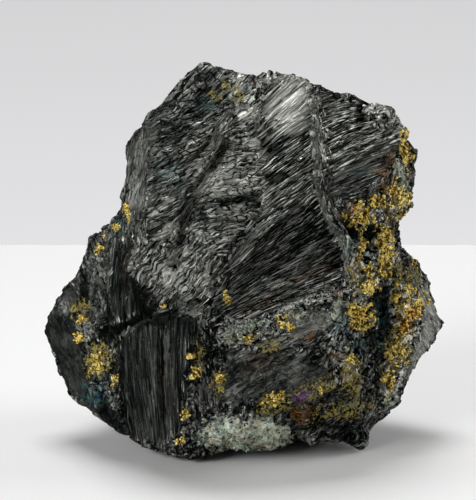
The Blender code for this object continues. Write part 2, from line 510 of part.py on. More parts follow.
def wolframite():
    """The whole specimen as one closed solid standing on its flat spot."""
    data = bpy.data.meshes.new("wolframite block")
    block = body_block()
    block.to_mesh(data)
    block.free()
    data = refined(data, "even", kind="REMESH", mode="VOXEL", voxel_size=WORKING_VOXEL)
    carve(data)
    data = refined(data, "fuse", kind="REMESH", mode="VOXEL", voxel_size=FUSING_VOXEL)
    data = refined(data, "triangles", kind="TRIANGULATE")
    share = BODY_TRIANGLES / len(data.polygons)
    data = refined(data, "facets", kind="DECIMATE", ratio=share)
    mesh = bmesh.new()
    mesh.from_mesh(data)
    cut_flat(mesh)
    keep_largest(mesh)
    centre_on_origin(mesh)
    bmesh.ops.recalc_face_normals(mesh, faces=mesh.faces[:])
    data = bpy.data.meshes.new("wolframite")
    mesh.to_mesh(data)
    mesh.free()
    data.materials.append(wolframite_material())
    body = bpy.data.objects.new("wolframite", data)
    bpy.context.collection.objects.link(body)
    return body


def main():
    for item in list(bpy.data.objects):
        bpy.data.objects.remove(item)
    wolframite()


main()
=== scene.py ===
"""Looks of a wolframite hand specimen: black striated blades with brassy crusts, pale quartz and mica.

The rock is laid out as it is seen from the front. A place is given by how far across and how far up it
appears in a picture plane through its middle, in layout units of a millimetre, and by its depth away
from the viewer.
"""

import math

import bmesh
import bpy
import numpy as np
from mathutils import Matrix, Vector
from mathutils.bvhtree import BVHTree
from mathutils.geometry import delaunay_2d_cdt


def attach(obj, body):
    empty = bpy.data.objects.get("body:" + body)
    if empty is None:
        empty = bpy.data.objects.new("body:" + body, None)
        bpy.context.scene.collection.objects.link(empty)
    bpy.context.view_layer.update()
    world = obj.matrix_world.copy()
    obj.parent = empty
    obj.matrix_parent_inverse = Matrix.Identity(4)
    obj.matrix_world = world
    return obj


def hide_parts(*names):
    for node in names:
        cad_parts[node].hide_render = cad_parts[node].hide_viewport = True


bl_info = {
    "name": "Wolframite Specimen",
    "version": (1, 0, 0),
    "blender": (4, 5, 0),
    "location": "View3D > Sidebar > Wolframite",
    "description": "Builds a wolframite hand specimen with its ore, crusts and matrix around its solid",
    "category": "Add Mesh",
}

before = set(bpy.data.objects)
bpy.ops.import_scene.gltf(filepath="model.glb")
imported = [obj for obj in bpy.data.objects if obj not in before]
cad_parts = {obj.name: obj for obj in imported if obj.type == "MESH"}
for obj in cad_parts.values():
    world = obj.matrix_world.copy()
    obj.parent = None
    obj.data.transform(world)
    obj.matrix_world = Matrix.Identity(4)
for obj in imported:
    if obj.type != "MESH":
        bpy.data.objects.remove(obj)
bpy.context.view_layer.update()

# The picture plane: the layout is in millimetres, and the viewer looks down a little
UNIT = 0.001
VIEW_DISTANCE = 0.380
VIEW_TILT = math.radians(12.0)
AIM_ACROSS = -1.4
AIM_UP = 42.0
AIM_HEIGHT = 40.7 * UNIT
LAYOUT_SHIFT = Vector((-0.00007, -0.00488, 0.0))
IMAGE_HEIGHT = 500
UNITS_PER_PIXEL = 0.2
SENSOR = 36.0

# Rounding of the rim, in layout units; low down, the back has none
EDGE_INSET = 1.3
EDGE_SWELL = 1.6
BACK_RING_ABOVE = 6.0


# Edge of the specimen as seen from the front, clockwise from the left tip: across, up, depth
OUTLINE = [
    (-40, 25.8, 8), (-39.4, 28.4, 8), (-38, 32, 8), (-36, 35, 8), (-34, 37, 9), (-33, 39.6, 9),
    (-31, 43.4, 9), (-29.4, 45.4, 9), (-27, 47.2, 9), (-25.6, 49.4, 9), (-24.8, 51.4, 8), (-24.2, 55.4, 7),
    (-23.8, 59, 6), (-24, 63, 6), (-22.8, 64.4, 6), (-21, 66.6, 6), (-17.8, 70.4, 6), (-15, 73, 6),
    (-13, 76.2, 6), (-11.8, 77.6, 6), (-10, 78.8, 6), (-8, 79.4, 7), (-6.4, 79, 7), (-4, 78.2, 8),
    (-0.8, 77.4, 8), (2.4, 77, 8), (3.4, 77.6, 7), (7.6, 77.4, 6), (10, 77, 6), (12.6, 76.6, 6),
    (13.6, 75.6, 7), (16, 74.8, 8), (18, 73.8, 9), (20.6, 73.6, 10), (23, 72.2, 10), (23.8, 71.2, 11),
    (25, 71.6, 11), (27, 71.4, 12), (29, 70.4, 12), (30.6, 68.8, 12), (31.6, 65.6, 12), (32.6, 64, 12),
    (34, 60.8, 12), (33.6, 58, 12), (34, 56.4, 12), (33.2, 52, 12), (32.2, 49.6, 12), (31.2, 47.6, 12),
    (30.6, 45.6, 12), (31.4, 42.6, 11), (33, 41.2, 12), (34.2, 39.6, 12), (36.4, 37, 12), (37.4, 35.4, 12),
    (37, 34.4, 11), (38.4, 30.8, 11), (39, 28.8, 11), (40, 26.8, 11), (39, 25.4, 10), (38.2, 23.6, 10),
    (35.4, 20.4, 9), (33.4, 16.8, 8), (31.6, 13.6, 7), (31.4, 12, 6), (30.2, 10.4, 5), (27, 7.8, 3),
    (25.4, 6.4, 0), (23.8, 3, -3), (20.6, 3.2, -5), (17.8, 4, -6), (16, 3.8, -7), (12.6, 3.8, -8),
    (10.4, 4.6, -8), (7.6, 2.6, -9), (5, 2.2, -10), (1, 1.8, -11), (-4.6, 2.2, -12), (-6, 1.4, -12),
    (-7.4, 0.4, -12), (-9, 0, -12), (-11, 0.2, -12), (-15.4, 1.2, -11), (-19, 2, -9), (-21.8, 3.2, -7),
    (-23, 4.8, -5), (-24.6, 5.4, -4), (-29, 8.2, -1), (-31.4, 9.8, 0), (-32.6, 11, 1), (-35, 12.6, 3),
    (-35.8, 14.4, 4), (-37, 17, 5), (-39, 22.4, 7),
]

# Creases and crests of the front, each a line of points: across, up, depth
FRONT_LINES = {
    "left shoulder": [
        (-16.4, 70.8, 2), (-17, 66.6, -2), (-18, 63, -5), (-19, 59, -8), (-19.6, 54, -10.5),
        (-20.2, 49, -12.5), (-21.4, 44.4, -13), (-21, 39.6, -14.5), (-19.8, 34, -16.5), (-18.6, 29.6, -18),
    ],
    "bundle edge": [(-26.6, 44.4, 2), (-28.2, 39.6, -1), (-28.6, 34, -3.5), (-28.2, 27, -6)],
    "bundle middle": [(-24, 44, -5.5), (-24.2, 38, -8.5), (-23.8, 30, -12)],
    "top knob": [(-11, 75, 1.5), (-7.6, 74.4, 3), (-4.6, 75.2, 2), (-1, 73.6, 2)],
    "knob lip": [(-14.6, 69.6, -2.5), (-10, 70.4, -2.5), (-5.4, 71.2, -1.5), (-1, 70.4, -1.5), (2, 72, 0)],
    "hackly face": [
        (-12, 65, -7), (-14, 59, -10.5), (-15.4, 53, -13.5), (-16, 47, -17), (-17, 41, -19),
        (-15.4, 35, -21), (-12, 32, -22.5),
    ],
    "central groove": [
        (-2.6, 64, -7.5), (-6, 59, -9.5), (-9.4, 55, -11.5), (-11, 51, -13.5), (-12.4, 44, -17),
        (-13.4, 39, -19),
    ],
    "groove lip": [
        (-1, 61, -10.5), (-4.6, 56, -14), (-6.6, 51, -16.5), (-8.4, 45, -19.5), (-9.8, 39, -21.5),
        (-10, 34, -22.5),
    ],
    "fan root": [
        (0, 68, -5.5), (2, 62, -9.5), (1, 55, -15), (2, 51, -16), (-1, 45, -18.5), (-4, 39, -21),
        (-6.4, 32, -23),
    ],
    "bright facet foot": [(3.4, 68.4, -5), (7, 68.4, -5), (11, 67.6, -5.5)],
    "right edge ribbon": [
        (13.8, 72, 1), (13.8, 67, -4.5), (13.4, 62, -8.5), (14.2, 54, -12.5), (17, 48, -14.5),
        (20, 44, -14.5), (21, 39.6, -13.5), (21.4, 35, -14),
    ],
    "fan upper": [(7, 62, -9), (6, 56, -13), (3.4, 47, -17)],
    "fan middle": [(11, 62, -9), (10.6, 55, -12), (8, 49, -14.5)],
    "fan hollow": [(12, 49, -12.5), (15, 45, -11.5), (18, 41, -11.5), (11, 42, -13.5)],
    "fan lower": [(5, 39.6, -17), (-1, 35, -21)],
    "fan foot": [(19, 32, -15), (15, 35, -15), (7, 34, -18.5), (11, 30, -18.5), (3, 30, -21)],
    "lower bundle left": [(-24.6, 25, -11.5), (-24.2, 18, -10.5), (-23.4, 10, -7.5)],
    "lower bundle crest": [(-19, 26, -18), (-18.6, 16, -17), (-17.8, 7, -14)],
    "lower bundle right": [(-11, 27, -22), (-11, 17, -21.5), (-11, 7, -17.5), (-13, 3, -14)],
    "lobe ridge": [(-32.2, 27, -1), (-32.6, 22, -2.5), (-32.2, 15, -3)],
    "lobe lumps": [(-30, 27, -3.5), (-29, 19, -6), (-26.4, 14.4, -7), (-26.6, 9, -4.5)],
    "lobe foot": [(-30, 12, -4)],
    "lobe flank": [(-35.4, 32, 3), (-36.6, 26, 4), (-35, 19, 1), (-37, 22, 4)],
    "lobe hollow": [(-32.6, 34, 5)],
    "lobe top": [(-29.8, 36, -0.5), (-30.6, 41, 3)],
    "slab left": [(-6, 26, -22.5), (-6, 16, -21), (-7, 9, -18.5)],
    "slab": [(0, 25, -22), (0, 13, -20)],
    "slab right": [(11, 24, -19.5), (13, 17, -18.5)],
    "bronze blade": [(3.4, 10.4, -20.5), (11, 13, -20), (20, 16.4, -17)],
    "under the blade": [(11, 9.6, -16), (17, 10, -13.5), (23, 11, -10)],
    "bottom lumps": [(15, 5.6, -10), (21, 5.6, -8.5), (25.4, 9, -4)],
    "matrix": [(-8, 5.6, -16), (-1, 6, -16.5), (7, 6, -14)],
    "shoulder top": [(17, 69.6, 2), (22, 66, 0), (26, 63, 2), (30.6, 64.4, 5.5)],
    "green knob": [(28, 69, 7)],
    "shoulder band": [(17, 56.4, -9), (20, 60.4, -4.5), (16.6, 62, -5.5)],
    "shoulder hollow": [(21, 56, -5), (26, 57, -1), (30, 59, 4)],
    "brass upper": [(21, 51, -9.5), (25, 51, -5), (29, 52, 0), (31.6, 54, 5)],
    "brass cavities": [
        (21.4, 46.4, -8.5), (23.4, 42, -9.5), (25.4, 44.4, -5), (28.4, 44, -2.5), (30, 41, 0),
    ],
    "brass middle": [(25.4, 39, -7), (24, 32, -10.5), (25, 27, -10)],
    "dark cavity": [(28, 36, -4), (27.6, 29, -4)],
    "outer brass": [(30.6, 32.6, -2), (33.4, 28, 0.5), (30.2, 21.6, -4.5), (28.6, 16, -5)],
    "mica flange": [(33, 37, 3), (35, 32, 4.5), (37, 28, 6), (36, 25, 4.5), (33.4, 21, 1.5)],
    "right foot": [(22, 23, -13), (24.6, 17, -9.5), (26, 12, -5.5), (30, 13, 0)],
}

# Broken back and underside, in true places: across, depth, height
BACK_POINTS = [
    (-7, 12, 71), (4, 15, 72), (14, 13, 70), (24, 17, 62), (-18, 11, 61), (-6, 20, 62), (9, 19, 62),
    (19, 22, 55), (-23, 13, 50), (-13, 23, 51), (0, 24, 52), (13, 28, 47), (27, 18, 46), (-32, 13, 36),
    (-25, 20, 39), (-13, 28, 40), (3, 27, 39), (16, 31, 34), (28, 22, 35), (34, 16, 30), (-35, 13, 24),
    (-29, 22, 25), (-18, 29, 22), (-4, 29, 24), (10, 31, 20), (22, 25, 22), (31, 18, 20), (-31, 12, 14),
    (-23, 23, 12), (-9, 27, 11), (3, 26, 9), (15, 26, 10), (26, 14, 12), (-25, 10, 6), (24, 10, 6),
    (-19, 17, 4), (-3, 23, 4), (14, 22, 4), (20, 10, 3.2), (-21, 8, 3), (-15, 14, -1.1), (-1, 18, -1.1),
    (12, 16, -1.1), (16, 9, -1.1), (-17, 7, -1.1), (-11, 0, -1), (3, 6, -1.1),
]

# Cracks, steps and ridges drawn over the front: points (across, up), half width, height off the surface
FRONT_STROKES = [
    ("long crack", [
        (-29, 37), (-28.6, 31), (-27, 25.4), (-23, 27.4), (-19, 28.2), (-15, 29), (-11, 31.4), (-6.4, 31.4),
    ], 0.9, -2.2),
    ("groove", [(-2.6, 64), (-6, 59), (-9.4, 55), (-11, 51), (-12.4, 44), (-13.4, 39)], 0.8, -1.5),
    ("left crease", [(-16.4, 70.8), (-17, 66.6), (-18, 63), (-19, 59)], 0.6, -0.8),
    ("knob ledge", [(-17, 67.4), (-12, 67)], 0.6, -1),
    ("edge ribbon", [
        (13.6, 71), (13.6, 66), (13.4, 62), (14.4, 54), (17.2, 48), (20.2, 44), (21, 39),
    ], 0.8, 1.1),
    ("beside the ribbon", [(14, 50), (15.4, 46.4), (18, 42.6), (18.6, 39.6)], 1.2, -1.8),
    ("facet wedge", [(2.6, 68), (4.4, 62.6)], 0.8, -1.2),
    ("shoulder recess", [(17, 55), (22, 56.4), (28, 60)], 1.2, -1.4),
    ("shoulder blade", [(15, 56.4), (20, 61), (31, 65)], 1.1, 1),
    ("long blade", [(-4, 37), (1, 43), (7, 51)], 0.9, 1.2),
    ("notch", [(23.8, 71.4), (23, 68)], 0.7, -1.2),
    ("under the facet", [(-9, 74), (-6, 73)], 1.2, -1),
    ("bundle groove", [(-16.6, 27), (-17, 18), (-16.4, 8)], 0.6, -1.3),
    ("bundle rib", [(-20.6, 27), (-20.4, 16), (-19.8, 6)], 1, 0.9),
    ("bundle rib", [(-14, 27), (-13.8, 17), (-13.4, 7)], 1, 0.9),
    ("bundle side", [(-25.4, 25), (-25.2, 18), (-24.4, 9)], 0.7, -1.5),
    ("upper bundle rib", [(-23.4, 44), (-22.8, 37), (-21.6, 29)], 0.8, 0.9),
    ("upper bundle groove", [(-25.4, 43), (-25.4, 36), (-24.6, 28.6)], 0.7, -1.1),
    ("centre groove", [(-10.6, 27), (-9.4, 19), (-9.6, 8)], 0.7, -1.2),
    ("band step", [(-8, 21), (-3, 27.6), (6, 28.8), (17, 33)], 0.9, 1),
    ("slab top", [(-4, 23), (4, 23.6), (13, 26.4)], 0.8, -1),
    ("bronze blade", [(3.4, 10.6), (11, 13.2), (20, 16.6)], 0.9, 1.5),
    ("under the blade", [(9, 8.4), (16, 10.6), (22, 13)], 1.2, -1.6),
    ("curved ridge", [(17.6, 25), (20, 22.6), (22.4, 24.6)], 0.8, 0.9),
    ("brass cavity", [(20.6, 47), (21.4, 45)], 1.1, -1.6),
    ("brass cavity", [(25, 45.4), (26, 43)], 1.1, -1.5),
    ("brass cavity", [(27.4, 47.6), (29.4, 47.2)], 0.9, -1.2),
    ("dark cavity", [(28.2, 34), (27.4, 29), (27.8, 24.4)], 1.1, -1.9),
    ("outer cavity", [(29.4, 20), (30, 18.6)], 0.9, -1.2),
    ("wavy vein", [(24, 45), (24.8, 40), (24.4, 37)], 0.6, 0.8),
    ("wavy vein", [(29.8, 44.6), (30.6, 39), (30, 35)], 0.6, 0.8),
    ("lobe furrow", [(-32.4, 36.6), (-31.4, 31.4), (-31.8, 28.4)], 1.2, -1.4),
    ("right strip", [(31.2, 21.6), (34.6, 15.6)], 0.7, -0.8),
    ("void under the matrix", [(-5.4, 1.6), (-3.8, 2.4)], 0.9, -1.6),
    ("plate", [(-18.2, 46.6), (-14.6, 47.6)], 1.7, 0.8),
    ("plate foot", [(-19.6, 42.8), (-14, 42.8)], 0.5, -1),
    ("plate", [(-18, 38.6), (-15, 37)], 1.6, 0.7),
    ("plate", [(-11.4, 45.6), (-12.4, 39.6)], 0.9, 0.8),
    ("plate", [(-7.2, 57.2), (-1.6, 56.4)], 1.8, 0.8),
    ("plate foot", [(-8, 53), (-3, 53.2), (1, 51.6)], 0.6, -1),
    ("plate", [(-7, 48.6), (-3, 48)], 1.6, 0.6),
    ("plate", [(-16, 60.6), (-10, 62.6)], 1.2, 0.8),
    ("plate foot", [(-17.4, 58.4), (-10.6, 60)], 0.6, -0.9),
    ("plate", [(-17.4, 54.6), (-13, 56.6)], 1.2, 0.7),
    ("plate foot", [(-18, 51.4), (-13, 53.6)], 0.6, -0.9),
    ("wavy plate", [(-4, 66.6), (1, 65)], 1.2, 0.7),
    ("plate foot", [(-3.6, 63), (1.6, 61.6)], 0.6, -0.8),
]

# The same over the back, seen square on: points (across, height)
BACK_STROKES = [
    ("ledge", [(-20, 58), (-8, 63), (6, 61), (16, 64)], 1.4, 1.6),
    ("crack", [(-20, 55), (-8, 60), (6, 58), (18, 60)], 1, -2),
    ("ridge", [(-13, 52), (-11, 40), (-16, 26), (-12, 12)], 1.6, 2),
    ("crack", [(-16, 50), (-15, 40), (-20, 27), (-17, 12)], 0.9, -1.9),
    ("ridge", [(12, 52), (15, 40), (12, 25), (16, 10)], 1.5, 1.8),
    ("crack", [(9, 50), (11, 38), (8, 24), (11, 10)], 0.9, -1.8),
    ("step", [(-30, 33), (-22, 35), (-17, 31)], 1.1, -1.7),
    ("step", [(18, 35), (26, 32), (33, 33)], 1.1, -1.7),
    ("step", [(-8, 30), (0, 33), (7, 31)], 1.2, 1.5),
    ("step", [(-9, 27), (0, 29), (7, 27)], 0.9, -1.6),
    ("hollow", [(-3, 46), (4, 48)], 2.4, -1.6),
    ("hollow", [(22, 46), (25, 42)], 2.2, -1.5),
    ("hollow", [(-27, 22), (-24, 17)], 2, -1.4),
]

# Rounded lumps of brassy and pale grains: across, up, radius, height
FRONT_LUMPS = [
    (-30, 26.8, 1.8, 1.2), (-28.6, 19, 2.2, 1.3), (-30.4, 16.4, 1.5, 0.9), (-26, 14.4, 1.4, 0.9),
    (-32.4, 24.4, 1.3, 0.9), (-33.6, 28, 1.4, 0.9), (-29, 11.6, 1.9, 1.2), (-32, 12.4, 1.6, 1),
    (-27.4, 46, 1.3, 0.8), (-29.6, 42.4, 1.5, 0.9), (-24, 53, 1.3, 0.7), (7.6, 27.2, 1.5, 1.3),
    (9.6, 28.6, 1.2, 1), (0, 26, 1.5, 0.9), (4.4, 28.6, 1.5, 0.8), (-3.6, 24.4, 1.5, 0.8),
    (-11, 21.4, 1.2, 0.8), (-9.2, 16.8, 1.6, 1), (-5.6, 17.4, 1.2, 0.8), (-12.6, 9.4, 1.4, 0.9),
    (5.6, 12.2, 1.3, 0.9), (12, 9.2, 2.2, 1.4), (16.6, 11.6, 1.4, 0.8), (13.6, 5, 1.8, 1.1),
    (18, 5, 1.5, 0.9), (22.6, 4.4, 1.7, 1.2), (21, 18, 1.3, 0.8), (21.6, 23.6, 1.6, 1), (22, 51, 1.9, 1.1),
    (25.4, 50, 1.5, 1), (28.4, 50.6, 1.6, 1.1), (27.6, 44.6, 1.6, 1.2), (24.2, 41, 1.3, 1),
    (22.6, 43, 1.2, 0.8), (24, 34.6, 1.6, 1.1), (23, 31, 1.9, 1.3), (25.4, 28.6, 1.6, 1),
    (24.6, 24.8, 1.4, 0.9), (31, 33.6, 1.6, 1.4), (31.4, 30.2, 1.4, 1), (33.4, 27.6, 2.3, 1.5),
    (31.4, 24.6, 1.7, 1.1), (30, 21.2, 2.2, 1.6), (28.6, 16, 1.9, 1.3), (32.8, 61.4, 1.7, 1),
    (32.2, 57, 1.4, 1), (29.6, 59, 1.6, 0.9), (31.6, 51, 1.6, 1), (33.6, 38.8, 1.3, 0.9),
    (28, 68.6, 2, 1.2), (25, 69, 1.5, 0.9), (30.2, 65.6, 1.6, 0.9), (27, 11, 1.5, 1), (29.6, 12, 1.3, 0.9),
    (-5, 74.2, 1.4, 0.8), (-2, 73, 1.3, 0.8), (-8, 78, 1.9, 0.9), (-11, 4, 1.6, 1), (-1, 6, 2.6, 0.9),
    (5, 5.6, 2.2, 0.9), (-6, 5.2, 2, 0.8), (16, 31.6, 1.4, 0.8), (19, 27.6, 1.5, 0.8), (21, 13.4, 1.4, 0.9),
]
BACK_LUMPS = [
    (-30, 40, 2, 1.4), (-26, 44, 1.7, 1.2), (-33, 30, 1.8, 1.2), (-28, 12, 2.1, 1.4), (-24, 8, 1.7, 1.1),
    (29, 40, 2, 1.4), (31, 46, 1.8, 1.3), (27, 52, 2.1, 1.4), (33, 26, 2, 1.4), (29, 18, 1.8, 1.3),
    (24, 14, 2.2, 1.4), (20, 8, 1.8, 1.2), (2, 20, 2.3, 1.4), (-1, 15, 1.9, 1.2), (5, 13, 1.8, 1.1),
    (-18, 66, 1.6, 1), (16, 68, 1.8, 1.1), (22, 62, 1.6, 1),
]

# Fineness of the meshes: voxels in metres and numbers of triangles
FORM_VOXEL = 0.0005
FRONT_FIRST_TRIANGLES = 300000
BODY_TRIANGLES = 195000
CREASE_ANGLE = math.radians(32.0)
GROUND_TRIANGLES = 60000

# Unevenness of the main forms, in layout units
FORM_SIZE = 6.0
FORM_ROUGHNESS = 0.22

# Steps of the plates: how wide and long their waves are in grains, steps in a wave, their rise for a zone's
# unevenness, the full and the outer half width of their edges, where shade is painted, and the depth of
# these, in layout units
STEP_ACROSS = 7.0
STEP_ALONG = 2.5
STEPS_PER_WAVE = 2.0
STEP_RISE = 1.6
LEDGE_WIDTH = (0.05, 0.22)
LEDGE_DEPTH = 0.08

# How far the edges of the zones wander, the width in which one turns into the next, and the size of the
# waves in which their grain wavers, in layout units
ZONE_RAGGED = 1.4
ZONE_BLEND = 0.35
SWAY_SIZE = 2.6

# Lightness and calm of the ore outside the facets, how much lower the relief is where the ore is calmest,
# and how many fewer shards there are
PLAIN_LIGHT = 0.38
PLAIN_CALM = (0.1, 0.15)
CALM_GROUND = 0.6
CALM_SHARDS = 0.9

# How quickly relief fades where the surface turns away from its side
SIDE_SHARPNESS = 3.0
SIDE_REST = 0.5

# The table top behind, in front of and beside the specimen, and the wall behind it, in metres. The wall's
# glow, painted light, fades upwards from its lowest height that the camera sees past the table.
FLOOR_FRONT = 2.0
FLOOR_BACK = 0.194
FLOOR_HALF_WIDTH = 2.0
TABLE_HEIGHT = 0.1
WALL_PLACE = 0.8
WALL_LOW = -0.5
WALL_HIGH = 0.5
WALL_FADE = (-0.124, 0.028)

# Shards: trials spread over the rock and per square layout unit, and how deep they sit in it
SHARD_TRIALS = 28000
TRIALS_PER_AREA = 1.3
SHARD_DEPTH = 0.5
SHARD_SEED = 11

# How much a shard leans, how uneven its corners are, how far it turns from the grain and sways with it,
# and how far apart two shards lie in the pattern of the ore
SHARD_LEAN = 0.35
SHARD_CHIP = 0.25
SHARD_TURN = 0.035
SHARD_SWAY = 0.5
SHARD_APART = 97.0

# How much a place has to face its side for a shard to follow the zones there, the height in metres that
# shards and crystals start at, and the direction of the grain on the sides
SHARD_FACING = 0.55
SHARDS_ABOVE = 0.0008
SIDE_GRAIN = (0.25, 0.3, 0.9)

# Grains of the sides, each a size and a rise, and how far from the middle the sides are, in layout units
SIDE_GRAINS = ((2.6, 0.15), (0.9, 0.07))
SIDE_RADIUS = 36.0

# Shapes of a blade and a plate: cuts along it, width and height of its ends and width of its top
SHARD_SHAPES = {"blades": (2, 0.2, 0.3, 0.4), "plates": (1, 0.75, 0.85, 0.88)}

# Crusts: trials spread over the rock, how far a crystal stands out of it, and for each mineral the share of
# trials that hold a crystal, the smallest and largest crystal in layout units and a seed
CRUST_TRIALS = 60000
GRAIN_LIFT = 0.35
CRUSTS = {"brass": (0.6, 0.12, 0.5, 21), "pale": (0.4, 0.08, 0.36, 22)}

# Lines that the blades and plates follow: how far across the set each one is, and its points
GUIDES = {
    "fan": [
        (0, [(3.4, 68.4), (7.6, 72.4), (11.6, 76)]), (6, [(2.2, 58.4), (8, 63), (13.8, 67.2)]),
        (12, [(0.6, 49.2), (7, 54.4), (14.6, 59.6)]), (18, [(-2.6, 39.6), (3.4, 45.6), (16, 54.8)]),
        (22, [(-4.8, 35.4), (5, 42.6), (17, 51.2)]), (27, [(-5.6, 32.2), (3.4, 38.4), (18, 47.6)]),
        (31, [(-4.2, 30.8), (3.4, 35.4), (19.4, 44)]), (35, [(-2.6, 29.4), (4, 32.6), (20, 40.4)]),
        (38, [(0, 28), (8, 31.4), (21.4, 36.8)]),
    ],
    "shoulder": [
        (0, [(14.6, 71), (19, 72.4), (22.6, 72.8)]), (4, [(13.8, 67), (19, 69), (25, 70.6)]),
        (9, [(13.8, 61), (20, 64.4), (31, 68.4)]), (13, [(14.6, 56.4), (21, 60), (31.4, 64.4)]),
        (17, [(16, 53), (22, 55.6), (31, 59)]),
    ],
    "lower bundle": [
        (0, [(-25.2, 25), (-24.8, 16), (-23, 6)]), (8, [(-17.4, 27.6), (-17, 17), (-16, 3)]),
        (14, [(-11, 28.4), (-11, 17), (-11, 6)]),
    ],
    "upper bundle": [
        (0, [(-27, 44), (-28.2, 34), (-27.8, 27)]), (4, [(-23, 44), (-23.6, 36), (-23.4, 28.4)]),
        (8, [(-19, 45), (-19.4, 36), (-18.6, 29.6)]),
    ],
    "ribbon": [
        (0, [(13.2, 75.2), (13.6, 67.6), (14.2, 61.8), (14.8, 55.6), (15.4, 50.8), (18.6, 44.4), (20, 36)]),
        (1.7, [(14.8, 75.2), (15.4, 67.6), (16.4, 61.8), (17, 56), (17.8, 51.2), (21, 45.6), (22, 36)]),
    ],
}


def broken(edge, turn, size, relief, waver, fibre, blades=None, plates=None, guides=None, side="front"):
    """One kind of broken surface.

    Size is the width and length of its grains, which are turned by an angle in degrees or set along guides.
    Relief is how unevenly they stand, how much they lean, how deep the grooves between them are and how high
    their striae. The pattern wavers, and fibre goes from 0 for loose grains to 1 for blades. The blades or
    plates lie on it: how many to a square unit, and the ranges of their half length, half width and rise.
    """
    width, length = size
    uneven, lean, groove, striae = relief
    density, half_length, half_width, rise = blades or plates
    return dict(
        edge=edge, turn=turn, width=width, length=length, uneven=uneven, lean=lean, groove=groove,
        striae=striae, waver=waver, fibre=fibre, guides=guides, side=side,
        shards="blades" if blades else "plates", density=density, half_length=half_length,
        half_width=half_width, rise=rise,
    )


